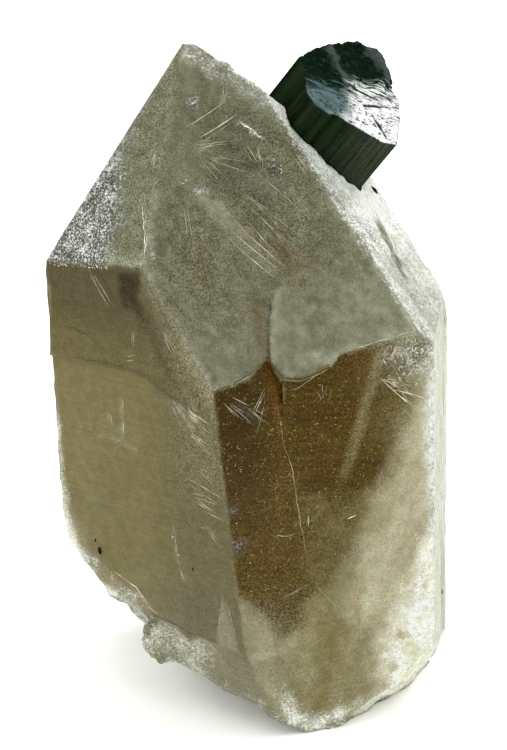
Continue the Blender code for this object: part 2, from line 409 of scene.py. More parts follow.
SQUARE_MARKS = (
    [(9.2, -35.5), (10.6, -34.5), (11.3, -35.9), (9.9, -37)],
    [(10.2, -31.5), (11.6, -30.8), (13.1, -31.6), (11.8, -32.5)],
)
FOOT_TIP_SPOTS = (
    (0.8, (-4.6, -39), (4, 1.3), -58),
    (0.8, (1, -41.7), (6.5, 1.3), 19),
    (1, (-3, -42), (2.4, 1.8)),
)
CHIP_SPOTS = (
    (1, (-12, -11.4), (0.8, 0.9)),
    (1, (-11, -16.3), (1.3, 0.9)),
    (0.5, (-9, 1), (2.6, 0.5), -40),
)
RUST_SPOTS = (
    (0.75, (-5.3, 3), (0.8, 5.2), 8),
    (0.4, (5.4, -26), (0.6, 3.2), -6),
)
DARK_WEDGE = [
    (-3, 19.8), (0.7, 20.6), (0.8, 16.8), (2.3, 13.2), (4.8, 9.3), (3.8, 9.1), (0.2, 13.8),
    (-2.6, 15.9),
]
LEDGE_EDGE = ((-15.6, 6.1), (-6.1, 7), (-2, 7), (1.1, 6.6), (5.4, 4.8), (10.4, 4))
SHADOW_TRAIL = ((1.6, 15.5), (4.4, 9.8), (8.4, 4.6))
LEFT_RIM = (
    (-15.9, 2), (-16.3, -9.5), (-15.8, -13.4), (-15.1, -19), (-13.1, -22.9), (-9.6, -26.4),
    (-4, -27.6),
)
RIM_SPOTS = (
    (1, (-15.3, -11), (0.5, 1.6)),
    (1, (-14.6, -13.5), (0.7, 0.6)),
)
ETCHED_LINES = (
    ((-6.1, -0.2), (-5.5, -1.5)),
    ((-3.5, 1.8), (-3.6, -2.7)),
    ((-7.8, -3.7), (-5.6, -3.6), (-3.5, -3.5), (-1.4, -4.3)),
    ((4.8, -13.5), (5.2, -17), (6.4, -20.7)),
)
PALE_WEDGE = [(13.3, -20.8), (15.8, -28.8), (11.4, -28.8)]
PLATE = [
    (-0.4, 5.9), (-1.8, 5), (-3, 1.2), (-3.7, -4.2), (-2.4, -6.7), (0, -7), (4.8, -5.3),
    (5.4, -4.4), (1.6, 5.2),
]
TIP_FOG_SPOTS = (
    (0.7, (-10.5, -3), (4.6, 4.6)),
    (0.6, (10.5, 2), (8, 5)),
    (0.9, (-9, 37.5), (2.8, 2.4)),
    (0.6, (-16.6, 14), (0.6, 6), -6),
    (0.5, (2.5, 17.5), (4.5, 3)),
    (0.5, (-9.5, 24), (3, 4)),
)
STAIN_SPOTS = (
    (1, (0.1, 10.8), (0.9, 3.6), 12),
    (0.9, (-4.5, 1), (0.5, 6), -6),
    (0.5, (2.2, 8.5), (0.5, 3), 30),
)
SPECKLE_SPOTS = (
    (1, (-1, 19), (8.5, 11), 20),
    (0.55, (-12, 8), (5.5, 10)),
)
TIP_MARK_SPOTS = (
    (1, (-9.6, 19), (1.3, 0.45)),
    (0.7, (-8.6, 31.2), (0.8, 0.7)),
    (0.6, (-1.9, 26.9), (2.4, 0.35), -38),
    (0.5, (0.9, 21.5), (1.6, 1), -60),
    (0.5, (-16.9, 11), (0.25, 1.8), -4),
    (0.4, (-11.5, 20.6), (0.8, 0.4)),
)
TIP_DARK_SPOTS = (
    (0.12, (-5, 22), (7, 6)),
    (0.14, (-5.5, 27.5), (4.5, 4)),
)
FROSTED_BORDER = ((-1.2, 2), (-2.4, 8), (-4, 12), (-6.3, 16), (-7, 20), (-8.4, 26))

# Tones. Each function gives, for places on a face, the share of these channels: window is
# the clear smoky part, pale milkiness, frost a white skin whose brightest grains are painted
# glints, grit pits and grains, fog a cool veil, rust a stain, and shade the brightness, in
# places painted light.
CHANNELS = ("window", "pale", "frost", "grit", "fog", "rust", "shade")


def x_along(y, path):
    """Where a rising line is at each y."""
    xs, ys = zip(*path)
    return np.interp(y, ys, xs)


def clear_part(x, y):
    """The smoky window, with a border that is softer at its right and below."""
    soft = 0.3 + 1.6 * smooth(-2, 8, x) + 1.1 * smooth(-20, -26, y)
    uneven = 0.9 * wavy(x, y, 2.4, 31) * smooth(-12.5, -9, x) * smooth(6, 1, y)
    return smooth(-soft, soft, depth_inside(x, y, WINDOW) + uneven)


def low_patch_rim(x, y):
    rim = smooth(0.9, 0.1, np.abs(depth_inside(x, y, LOW_PATCH) + 0.4 * wavy(x, y, 1.2, 39)))
    return rim * smooth(-23, -24.5, y + 0.3 * x) * smooth(-1, -3, x)


def tone_front_right(x, y):
    window = clear_part(x, y)
    off_veil = np.abs(x - x_along(y, VEIL) + 0.3 * wavy(x, y, 1.5, 32))
    veil = smooth(1.3, 0.3, off_veil) * smooth(-10, -8, y)
    haze = patch(x, y, HAZE, -2.2, 1.6, 1.8, 2, 37) * (0.85 + 0.7 * wavy(x, y, 1.1, 98))
    low = smooth(-20.5, -24.5, y + 0.6 * wavy(x, y, 2, 38)) * window
    dusty = smooth(-5, -10, y + 0.15 * x) * smooth(-0.5, -3, x)
    right = smooth(4, 9, x) * smooth(-8, -2, y)
    corner = smooth(-4, -9.5, x) * smooth(-20, -7, y)
    top = smooth(2, 8, y) * smooth(-12, -6, x)
    pale_corner = smooth(7, 10.5, x) * smooth(-11, -5, y) * smooth(9, 5, y)
    needle_ground = blob(x, y, (13.4, 0.5), (2.4, 3.4))

    milky = patch(x, y, MILKY_SIDE, -5.5, 2, 1.6, 4, 33)
    wisp = streaky(x, y, (0.88, 0.47), (2.6, 0.5), 4, 47)
    wisp = wisp * smooth(0, 5, x) * (1 - 0.8 * window)
    # side: the white band at the right edge, its frost partly standing for painted highlights.
    side = smooth(14.6, 16.8, x + 1.1 * wavy(x, y, 2.6, 46))
    low_patch = patch(x, y, LOW_PATCH, -0.7, 0.5, 0.5, 1.6, 34)
    foot_top = smooth(-22, -27, y)
    drape = wavy(x * 1.7, y * 0.55, 3, 101)
    foot = patch(x, y, FROSTED_FOOT, -3, 1.4, 1.8, 2.4, 35)
    tip = np.clip(spots(x, y, FOOT_TIP_SPOTS) * (0.9 + 0.9 * wavy(x, y, 1.8, 40)), 0, 1)
    squares = smooth(-0.3, 0.3, np.maximum(*(depth_inside(x, y, mark) for mark in SQUARE_MARKS)))
    chips = spots(x, y, CHIP_SPOTS) * (0.5 + 0.9 * np.abs(wavy(x, y, 0.8, 36)))

    frost = np.maximum(foot * (0.42 + 0.9 * wavy(x, y, 1.5, 48)), 0.7 * tip)
    frost = np.maximum(frost, 0.75 * blob(x, y, (13.8, 5.8), (3, 2.8)))
    frost = np.maximum(frost, np.maximum(0.75 * side, 0.5 * chips))
    seen = (1 - 0.5 * veil) * (1 - 0.6 * haze) * (1 - 0.2 * low) * (1 - 0.12 * dusty)
    seen = seen * (1 - 0.15 * pale_corner) * (1 - 0.22 * right)
    pale_inside = 0.10 * pale_corner + 0.16 * veil + 0.12 * wisp - 0.2 * needle_ground
    pale_below = 0.10 * low_patch + 0.2 * low_patch_rim(x, y) + foot_top * (0.13 + 0.2 * drape)
    pale_skin = 0.45 * foot + 0.15 * side + 0.45 * tip - 0.6 * squares
    dim = (1 - 0.12 * haze) * (1 - 0.42 * corner) * (1 - 0.15 * low)
    rusty = 0.07 * foot_top * smooth(0, 0.5, -drape) * smooth(-4, 2, x)
    return {
        "window": window * seen + 0.4 * blob(x, y, (7, -38.1), (0.9, 0.7)),
        "pale": (0.80 + 0.12 * wisp) * milky + pale_inside + pale_below + pale_skin,
        "frost": frost * (1 - 0.9 * squares),
        "grit": 0.25 + window * (0.55 - 0.22 * haze + 0.15 * dusty) + 0.25 * low + 0.05 * foot_top,
        "fog": 0.4 * foot + 0.5 * side + 0.45 * smooth(0, -7, x) * foot_top + 0.8 * squares,
        "rust": spots(x, y, RUST_SPOTS) + rusty,
        "shade": dim * (1 + 0.06 * top) * (1 + 0.05 * dusty)
        * (1 + 0.26 * foot + 0.12 * side + 0.45 * tip),
    }


def tone_front_left(x, y):
    uneven = 0.35 * wavy(x, y, 1.5, 41)
    wedge = smooth(-0.7, 0.9, depth_inside(x, y, DARK_WEDGE) + 2.2 * uneven)
    wedge *= (0.35 + 0.65 * smooth(12, 18, y)) * (1 + 0.5 * wavy(x, y, 0.9, 49))
    trail = smooth(1.2, 0.1, off_path(x, y, SHADOW_TRAIL) + uneven)
    strip = smooth(3, 0.8, off_line(x, y, (1.7, 21.3), (13, 7)) + 2 * uneven)
    over_ledge = y - np.interp(x, *zip(*LEDGE_EDGE))
    above = smooth(-0.2, 0.5, over_ledge) * smooth(9, 5, x)
    crack = smooth(0.9, 0.1, np.abs(over_ledge)) * smooth(-12, -4, x) * smooth(9.5, 6, x)
    high = smooth(7, 16, y) * smooth(5, -3, x)

    etched = np.min([off_path(x, y, path) for path in ETCHED_LINES], axis=0)
    etched = smooth(0.75, 0.1, etched + 0.6 * np.abs(wavy(x, y, 0.9, 50)))
    needled = smooth(3.5, 8.5, x) * smooth(-12, -2, y)
    right = smooth(-2, 9, x)
    lower = smooth(-14, -26, y) * smooth(-8, -2, x)
    light = blob(x, y, (-11.5, -8), (5, 14))

    # rim: the pale frosted rim along the left outline, lifted further as painted edge light.
    rim = smooth(1.7, 0.2, off_path(x, y, LEFT_RIM) + 0.9 * wavy(x, y, 1.8, 43))
    rim = rim * smooth(2, -6, y)
    heel = smooth(4.5, 0.5, off_path(x, y, LEFT_RIM[3:]) + uneven)
    below = smooth(0.4, -0.8, y + 23 + 0.42 * (x + 6.9) + uneven) * smooth(4, 1, x)
    pale_wedge = smooth(-0.25, 0.4, depth_inside(x, y, PALE_WEDGE) + 0.5 * uneven)
    rim_spots = spots(x, y, RIM_SPOTS) * (0.4 + 1.2 * np.abs(wavy(x, y, 0.7, 42)))
    crumbs = below * np.clip(0.15 + 0.7 * wavy(x, y, 1.1, 45), 0, 1)
    pale = 0.62 * rim + 0.3 * heel + 0.5 * pale_wedge + 0.04 * light + 0.2 * etched
    dim = (1 - 0.22 * above - 0.30 * high - 0.25 * wedge) * (1 - 0.3 * crack) * (1 - 0.22 * trail)
    return {
        "window": 0.72 * wedge + 0.25 * blob(x, y, (-6, 18.6), (0.5, 2.6), 38),
        "pale": pale + 0.10 * needled + 0.28 * strip + below * (0.15 + 0.3 * wavy(x, y, 1.5, 44)),
        "frost": 0.38 * rim + 0.10 * etched + 0.15 * heel + 0.6 * np.clip(rim_spots, 0, 1) + crumbs,
        "grit": 0.2 + 0.5 * wedge + 0.45 * needled + 0.15 * above + 0.2 * right + 0.1 * strip,
        "fog": 0.2 * right + 0.25 * lower,
        "rust": 0.12 * below,
        "shade": dim * (0.96 - 0.22 * right + 0.04 * lower + 0.06 * light) * (1 + 0.3 * rim + 0.1 * heel),
    }


def tone_tip_front(x, y):
    band = blob(x, y, (-7, 15.5), (1.3, 6.5), 38) * (1 + 0.4 * wavy(x, y, 1.6, 54))
    veils = streaky(x, y, (0.77, 0.64), (0.45, 2), 3, 57)
    fog = spots(x, y, TIP_FOG_SPOTS) * (1 + 0.7 * wavy(x, y, 2.5, 51))
    fog = np.clip(fog + band + 0.45 * smooth(0.05, 0.6, veils), 0, 1)

    in_plate = depth_inside(x, y, PLATE)
    plate = smooth(-0.2, 0.4, in_plate) * smooth(6.5, -2.5, x + 0.25 * y)
    border = smooth(0.8, 0, np.abs(in_plate - 0.5)) * smooth(3, -1, x)
    stain = spots(x, y, STAIN_SPOTS) * (1 - plate)
    speckle = spots(x, y, SPECKLE_SPOTS)

    marks = spots(x, y, TIP_MARK_SPOTS) * (0.5 + 1.4 * np.abs(wavy(x, y, 0.6, 52)))
    ridge = 0.5 * smooth(1.8, 0.2, 15.9 - (x * 0.88 + y * 0.47)) * smooth(2, 6, y)
    ridge = ridge * (0.5 + 0.8 * np.abs(wavy(x, y, 0.9, 53)))
    off_crest = 24.7 - (0.62 * x + 0.78 * y) + 1.2 * wavy(x, y, 2, 55)
    crest = smooth(2.2, 0.2, off_crest) * smooth(24, 30, y)
    crest = np.maximum(crest, blob(x, y, (-8.4, 38.4), (2, 1.3)))
    dim = 0.24 * speckle + spots(x, y, TIP_DARK_SPOTS)
    dim = dim + 0.13 * smooth(0, -6, y) + 0.04 * smooth(26, 34, y)
    return {
        "window": 0.25 * stain,
        "pale": 0.07 * fog + 0.24 * band + 0.06 * plate + 0.2 * border + 0.25 * crest,
        "frost": np.maximum(np.maximum(np.clip(marks, 0, 1), 0.34 * crest), ridge),
        "grit": np.clip(0.4 + speckle, 0, 1) * (1 - 0.7 * plate) * (1 - 0.7 * fog),
        "fog": np.clip(fog + 0.6 * plate, 0, 1),
        "rust": 0.22 * stain,
        "shade": 0.94 + 0.10 * fog + 0.08 * smooth(4, 12, x + 0.3 * y) - dim,
    }


def tone_tip_front_left(x, y):
    past = x - x_along(y, FROSTED_BORDER) + 1.4 * wavy(x, y, 2, 61)
    frost = smooth(1, -3, past) * smooth(27, 15, y) * (1 - 0.35 * smooth(14, 20, y))
    frost = np.maximum(frost, 0.9 * smooth(4.4, 3.2, y + 0.12 * x) * smooth(-0.5, -4, x))
    return {"frost": frost, "grit": 1, "fog": 0.35 * (1 - frost), "shade": 0.96}


# Silver-white frost, partly painted light: lighter and paler towards the lamp at the right.
def tone_rough_tip(x, y):
    crest = smooth(-7.6, -5.6, x - 0.03 * y + 0.7 * wavy(x, y, 2, 72)) * smooth(-2.8, -4.6, x)
    # lit: the share towards the lamp's side, which is painted lighter.
    lit = smooth(-3, 6, x + 0.1 * y)
    low = smooth(8, 0, y)
    lines = np.abs(wavy(6 * x + 0.6 * y, 0.6 * y, 4, 71))
    tan = smooth(1.3, 0.4, np.abs(x - 2.2 - 0.55 * (y - 3)))
    tan = tan * smooth(8, 6, y) * smooth(-3, 0, y)
    lined = 1 - (0.22 + 0.18 * low) * lines
    return {
        "pale": 0.24 + 0.76 * np.maximum(lit, 0.75 * low) - 0.6 * tan,
        "frost": 0.85 + 0.15 * crest + 0.05 * lit - 0.2 * low - 0.6 * tan,
        "grit": 0.9 - 0.5 * np.maximum(low, lit),
        "fog": 0.7,
        "shade": (1.5 + 0.2 * crest + 0.2 * lit - 0.65 * low) * lined * (1 - 0.35 * tan),
    }


def tone_side(x, y):
    cloud = smooth(-0.5, 0.6, wavy(x, 0.5 * y, 9, 81))
    return {
        "window": 0.4 * cloud,
        "pale": 0.22 * (1 - cloud),
        "frost": 0.4 * smooth(0.25, 0.75, wavy(x, y, 5, 82)),
        "grit": 0.5,
        "fog": 0.5 * (1 - cloud),
        "shade": 1 + 0.1 * wavy(x, y, 3, 83),
    }


# Whitish streaked frost; part of its whiteness is a painted reflection of the light at the right.
def tone_right(x, y):
    lines = np.abs(wavy(5 * x, 0.3 * y, 3, 91))
    tan = smooth(8, 18, y) * smooth(0, 5, x)
    cloud = smooth(-0.3, 0.5, wavy(x, 0.5 * y, 7, 92)) * smooth(-7, 4, x)
    return {
        "window": 0.2 * tan + 0.35 * cloud,
        "pale": (0.8 - 0.2 * tan) * (1 - 0.55 * cloud),
        "frost": (0.42 + 0.2 * lines) * (1 - 0.7 * cloud),
        "grit": 0.4 + 0.3 * cloud,
        "fog": 0.3,
        "shade": 1.08 - 0.35 * lines - 0.1 * cloud,
    }


def tone_break(points):
    """Tone of the broken foot: granular at its left lump, streaked white along the ground, and lifted in
    brightness, most at its right, partly as painted light where it faces down.
    """
    x, y, z = points.T
    lump = smooth(-3.5, -8.5, x) * smooth(8, 0, y)
    behind = smooth(-6, 2, y)
    right = smooth(6, 11, x)
    low = smooth(-34.5, -38.5, z) * smooth(8, 2, x)
    streaks = np.abs(grain(points, (4, 1.4, 0.8), 94)) + 0.3 * grain(points, 0.9, 95)
    white = 0.8 * low * smooth(0.1, 0.6, streaks)
    return {
        "pale": 0.12 + 0.25 * lump + 0.3 * behind + 0.6 * right + 0.2 * low,
        "frost": 0.04 + 0.38 * lump + 0.4 * behind + 0.4 * right + white,
        "grit": 0.4 + 0.6 * lump,
        "fog": 0.4 + 0.3 * lump,
        # Painted light: this lift brightens the downward-facing break.
        "shade": 0.98 + 0.32 * lump + 0.15 * behind + 0.7 * right,
    }


TONES = {
    **dict.fromkeys(FACES, tone_side),
    "front_right": tone_front_right,
    "front_left": tone_front_left,
    "tip_front": tone_tip_front,
    "tip_front_left": tone_tip_front_left,
    "rough_tip": tone_rough_tip,
    "right": tone_right,
    "tip_right_shoulder": tone_right,
}


# The quartz's visible mesh


def face_shares(points, normals):
    """How much each point of the quartz belongs to each crystal face, and how broken it is."""
    shares, fits = {}, []
    loose = smooth(BREAK_TOP - 3, BREAK_TOP, points[:, 2])
    room = 0.8 + 1.6 * loose
    for name, (azimuth, slope, distance) in FACES.items():
        normal = np.array(direction(azimuth, slope))
        near = smooth(room, 0.35 * room, np.abs(points @ normal - distance))
        facing = normals @ normal
        shares[name] = (near * near + 1e-5) * np.exp(45 * (facing - 1))
        fits.append(near * smooth(0.72, 0.93, facing))
    total = sum(shares.values())
    shares = {name: share / total for name, share in shares.items()}
    return shares, np.clip(1 - sum(fits), 0, 1) * (1 - loose)


def edge_share(points):
    """How near each point of the quartz is to an edge between two faces."""
    offs = []
    for azimuth, slope, distance in FACES.values():
        offs.append(np.abs(points @ np.array(direction(azimuth, slope)) - distance))
    return smooth(0.85, 0.1, np.sort(np.stack(offs), axis=0)[1])


def skin_tones(points, shares, broken):
    """The channels at each point, from the faces that it belongs to or the broken foot."""
    worn = tone_break(points)
    channels = {key: broken * worn.get(key, 0) for key in CHANNELS}
    for name, share in shares.items():
        _, x_side, y_side = (np.array(v) for v in face_axes(name))
        tone = TONES[name](points @ x_side, points @ y_side)
        weight = share * (1 - broken)
        for key in CHANNELS:
            channels[key] = channels[key] + weight * tone.get(key, 0)
    return channels


def tip_knobs(points, shares):
    """Relief of the knobbly edge at the top right of the tip."""
    x, _, z = points.T
    off = points @ np.array(face_axes("tip_ridge")[0]) - KNOBS_DISTANCE
    crest = np.exp(-((off / 0.7) ** 2))
    crest *= smooth(9, 4, x) * smooth(24, 32, z) * smooth(-9.4, -6.5, x)
    crest *= shares["tip_front"] + shares["rough_tip"] + shares["tip_ridge"] > 0.2
    return crest * (0.5 * np.maximum(0, grain(points, 1.7, 8)) + 0.1)


def skin_relief(points, shares, broken, edge, prism, frost):
    """How far each point stands out: ripples on the faces, rough and chipped broken parts."""
    crisp = 1 - broken
    rough = np.clip(broken + 0.8 * shares["rough_tip"], 0, 1)
    chipped = broken * smooth(-16, -26, points[:, 2])
    height = 0.05 * crisp * grain(points, 7, 1) + 0.015 * crisp * grain(points, 2.2, 2)
    height += rough * (0.16 * grain(points, 1.8, 3) + 0.09 * grain(points, 0.9, 4))
    height += 0.30 * chipped * grain(points, 2.6, 10)
    height -= 0.45 * chipped * smooth(0, 0.5, grain(points, 3.4, 11))
    height += 0.06 * frost * crisp * grain(points, 0.8, 5)
    height += 0.02 * prism * grain(points, (14, 14, 0.9), 6)
    height -= edge * np.maximum(0, 0.16 * grain(points, 1.6, 7) + 0.05)
    height += tip_knobs(points, shares)
    near_floor = points[:, 2] < FLOOR_LEVEL + 0.6
    height[near_floor & (height > 0)] = 0
    return height


def make_quartz(material):
    mesh = even_copy("quartz_crystal", "quartz", *QUARTZ_MESH)
    points, normals = points_of(mesh), normals_of(mesh)
    shares, broken = face_shares(points, normals)
    tones = skin_tones(points, shares, broken)
    prism = sum(shares[name] for name in PRISM_FACES)
    edge = edge_share(points) * (1 - broken) * (1 - 0.8 * smooth(24, 31, points[:, 2]))
    height = skin_relief(points, shares, broken, edge, prism, tones["frost"])
    points = points + normals * height[:, None]
    points[:, 2] = np.maximum(points[:, 2], FLOOR_LEVEL)
    put_points(mesh, points)
    put_values(mesh, **{key: np.clip(tones[key], 0, 1.5) for key in CHANNELS})
    worn_edge = edge * np.clip(0.65 + 0.6 * grain(points, 2.5, 9), 0, 1)
    put_values(mesh, prism=np.clip(prism, 0, 1), edge=worn_edge)
    smooth_shade(mesh, QUARTZ_SHARP)
    made = add_piece("quartz", mesh, material)
    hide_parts("quartz_crystal")
    return made


# The quartz's material

GREY_GREEN = (0.165, 0.168, 0.106)
OLIVE = (0.192, 0.162, 0.064)
WARM_OLIVE = (0.180, 0.146, 0.062)
DARK_OLIVE = (0.108, 0.104, 0.052)
FOG = (0.196, 0.200, 0.134)
MILKY = (0.43, 0.41, 0.28)
EDGE = (0.36, 0.37, 0.27)
SMOKE = (0.054, 0.026, 0.001)
SMOKE_LIGHT = (0.086, 0.049, 0.004)
SMOKE_WARM = (0.082, 0.043, 0.007)
SMOKE_GREEN = (0.072, 0.051, 0.002)
SMOKE_INSIDE = (0.67, 0.48, 0.05)
SMOKE_DENSITY = 90
DUST = (0.30, 0.21, 0.03)
RUST = (0.21, 0.080, 0.014)
PIT = (0.050, 0.043, 0.012)
# White of the frost grains, also of their painted glints.
ICE = (0.88, 0.92, 0.88)
ICE_GROUND = (0.098, 0.108, 0.074)
ICE_MILKY = (0.47, 0.50, 0.41)
BRIGHTEST = (0.93, 0.95, 0.92)
QUARTZ_TINT = (0.75, 0.60, 0.34)
QUARTZ_IOR = 1.54
GRAIN_CONTRAST = 1.488


def satin_colour(g, prism, edge, window, pale, grit, fog):
    """Grey-green tip and olive prism, under fog and milk, with pale edges."""
    ground = g.mix(GREY_GREEN, OLIVE, prism)
    warm = g.times(g.span(g.noise(0.28, 2), 0.46, 0.64, 0, 0.35), grit)
    ground = g.mix(ground, WARM_OLIVE, warm)
    dark = g.times(g.span(g.noise(0.42, 3), 0.47, 0.62, 0, 0.5), g.span(prism, 0, 1, 1, 0.15))
    ground = g.mix(ground, DARK_OLIVE, dark)
    drifts = g.times(g.span(g.noise(0.10, 4), 0.45, 0.68, 0, 0.35), g.span(prism, 0, 1, 1, 0.35))
    colour = g.mix(ground, FOG, g.larger(fog, drifts))
    colour = g.mix(colour, MILKY, pale)
    border = g.times(g.span(window, 0.1, 0.5, 0.85, 0.25), g.span(prism, 0.6, 1, 1, 0.2))
    return g.mix(colour, EDGE, g.times(edge, border))


def smoke_colour(g):
    """Brown in slightly tilted layers, with warmer and greener clouds."""
    layers = g.noise(1, 4, g.stretched((0.12, 0.12, 2.2), (0, 0.12, 0)), 0.65)
    smoke = g.mix(SMOKE, SMOKE_LIGHT, g.span(layers, 0.36, 0.70))
    smoke = g.mix(smoke, SMOKE_WARM, g.span(g.noise(0.11, 2), 0.46, 0.62, 0, 0.7))
    return g.mix(smoke, SMOKE_GREEN, g.span(g.noise(0.3, 3), 0.5, 0.66, 0, 0.6))


def grown_colour(g, colour, fine, prism, pale, grit):
    """Level growth lines on the prism, then pits and grains, then a soft mottle."""
    bands = g.noise(1, 4, g.stretched((0.08, 0.08, 2.2), (0, -0.05, 0)), 0.7)
    off_milk = g.minus(1, g.smaller(g.times(pale, 1.6), 1))
    colour = g.lift(colour, g.times(prism, g.span(bands, 0.38, 0.62, 0.05, -0.07), off_milk))
    grains = g.minus(g.span(fine, 0.41, 0.59), 0.46)
    colour = g.lift(colour, g.times(grains, grit, GRAIN_CONTRAST))
    colour = g.mix(colour, PIT, g.times(g.span(fine, 0.42, 0.34), g.times(grit, 0.7)))
    mottle = g.span(g.noise(0.7, 5, roughness=0.65), 0.3, 0.7, -0.24, 0.24)
    return g.lift(colour, g.times(mottle, g.span(prism, 0, 1, 1, 0.5)))


def frosted_colour(g, colour, sparkle, frost, pale):
    """Frost: bright grains on a grey ground, in drifts, the brightest of them painted glints."""
    amount = g.plus(g.times(g.noise(0.5, 3), 0.35), g.times(pale, 0.09))
    # Painted glints: grains past this mark turn ice-white.
    lit = g.span(g.plus(sparkle, amount), 0.705, 0.755)
    icy = g.mix(g.mix(ICE_GROUND, ICE_MILKY, pale), ICE, lit)
    return g.mix(colour, icy, frost)


def quartz_material():
    g = Surface("smoky_quartz_grown")
    window, pale, frost, grit, fog, rust, shade = (g.value(key) for key in CHANNELS)
    prism, edge = g.value("prism"), g.value("edge")
    fine = g.noise(4.6, 5, roughness=0.8)
    sparkle = g.noise(2.7, 4, g.stretched((1, 1, 1.3)), 0.8)

    colour = satin_colour(g, prism, edge, window, pale, grit, fog)
    colour = g.mix(colour, smoke_colour(g), window)
    colour = g.mix(colour, RUST, g.times(rust, 0.7))
    colour = grown_colour(g, colour, fine, prism, pale, grit)
    colour = frosted_colour(g, colour, sparkle, frost, pale)
    dust = g.times(g.span(fine, 0.55, 0.70), g.span(window, 0.3, 0.8, 0, 0.55))
    colour = g.mix(colour, DUST, dust)
    colour = g.no_brighter(g.scale(colour, shade), BRIGHTEST)

    calm = g.minus(1, g.smaller(g.plus(frost, pale), 1))
    through = g.larger(g.span(window, 0.1, 0.95, 0, 0.28), g.times(calm, 0.14))
    through = g.plus(through, 0.04)
    rough = g.plus(g.span(g.noise(0.8, 3), 0.3, 0.7, 0.30, 0.44), g.times(frost, 0.12))
    rough = g.minus(rough, g.times(window, 0.12))
    lines = g.noise(2.2, 2, g.stretched((0.07, 0.07, 1)))
    normal = g.bump(g.times(lines, prism), 0.10, 0.4)
    normal = g.bump(fine, 0.12, 0.4, normal)
    normal = g.bump(g.times(sparkle, frost), 0.45, 0.9, normal)
    g.set(Base_Color=colour, Roughness=rough, Transmission_Weight=through, Normal=normal)
    g.set(IOR=QUARTZ_IOR, Specular_IOR_Level=0.05, Specular_Tint=QUARTZ_TINT)
    g.absorb(SMOKE_INSIDE, SMOKE_DENSITY)
    return g.material


# Needles, seams and specks


class Strands:
    """Thin tapering bodies on the quartz's skin, collected into one mesh."""

    def __init__(self, ground, reach=1.5):
        self.ground, self.reach = ground, reach
        self.points, self.faces = [], []

    def settle(self, p, normal, height):
        """The place on the skin under a point, raised by a height."""
        start = (p + normal * self.reach + MIDDLE) * MM
        hit = self.ground.ray_cast(start, -normal, 2 * self.reach * MM)[0]
        return None if hit is None else hit / MM - MIDDLE + normal * height

    def strand(self, path, width, thickness, normal):
        """A thin three-sided body along a path that is pointed at both ends."""
        path = [self.settle(p, normal, -0.3 * thickness) for p in path]
        path = [p for p in path if p is not None]
        if len(path) < 3:
            return
        first = len(self.points)
        last = len(path) - 1
        for i, p in enumerate(path):
            ahead = path[min(i + 1, last)] - path[max(i - 1, 0)]
            side = ahead.cross(normal).normalized()
            taper = 0.25 + 0.75 * math.sin(math.pi * min(max(i / last, 0.02), 0.98))
            half = width * taper / 2
            for corner in (side * half, normal * thickness * taper, -side * half):
                self.points.append(p + corner)
        for i in range(last):
            a, b = first + 3 * i, first + 3 * i + 3
            for k in range(3):
                n = (k + 1) % 3
                self.faces.append((a + k, b + k, b + n, a + n))
        self.faces.append((first, first + 1, first + 2))
        end = first + 3 * last
        self.faces.append((end + 2, end + 1, end))

    def chip(self, centre, x_side, y_side, normal, size, chance):
        """A small flat flake with six uneven corners."""
        centre = self.settle(centre, normal, 0)
        first = len(self.points)
        count = 6
        for i in range(count):
            turn = 2 * math.pi * i / count
            reach = size * chance.uniform(0.55, 1)
            self.points.append(centre + x_side * reach * math.cos(turn) + y_side * reach * math.sin(turn))
        self.points.append(centre + normal * size * 0.35)
        self.points.append(centre - normal * size * 0.35)
        for i in range(count):
            n = (i + 1) % count
            self.faces.append((first + i, first + n, first + count))
            self.faces.append((first + n, first + i, first + count + 1))

    def finish(self, name, material):
        mesh = bpy.data.meshes.new(name)
        mesh.from_pydata([(p + MIDDLE) * MM for p in self.points], [], self.faces)
        mesh.update()
        return add_piece(name, mesh, material)


def line_on(face, start, end, height, bend, steps=6):
    """Points along a line on a face, with a slight bend."""
    out = []
    dx, dy = end[0] - start[0], end[1] - start[1]
    for i in range(steps + 1):
        t = i / steps
        bow = bend * math.sin(math.pi * t)
        out.append(on_face(face, start[0] + dx * t - dy * bow, start[1] + dy * t + dx * bow, height))
    return out


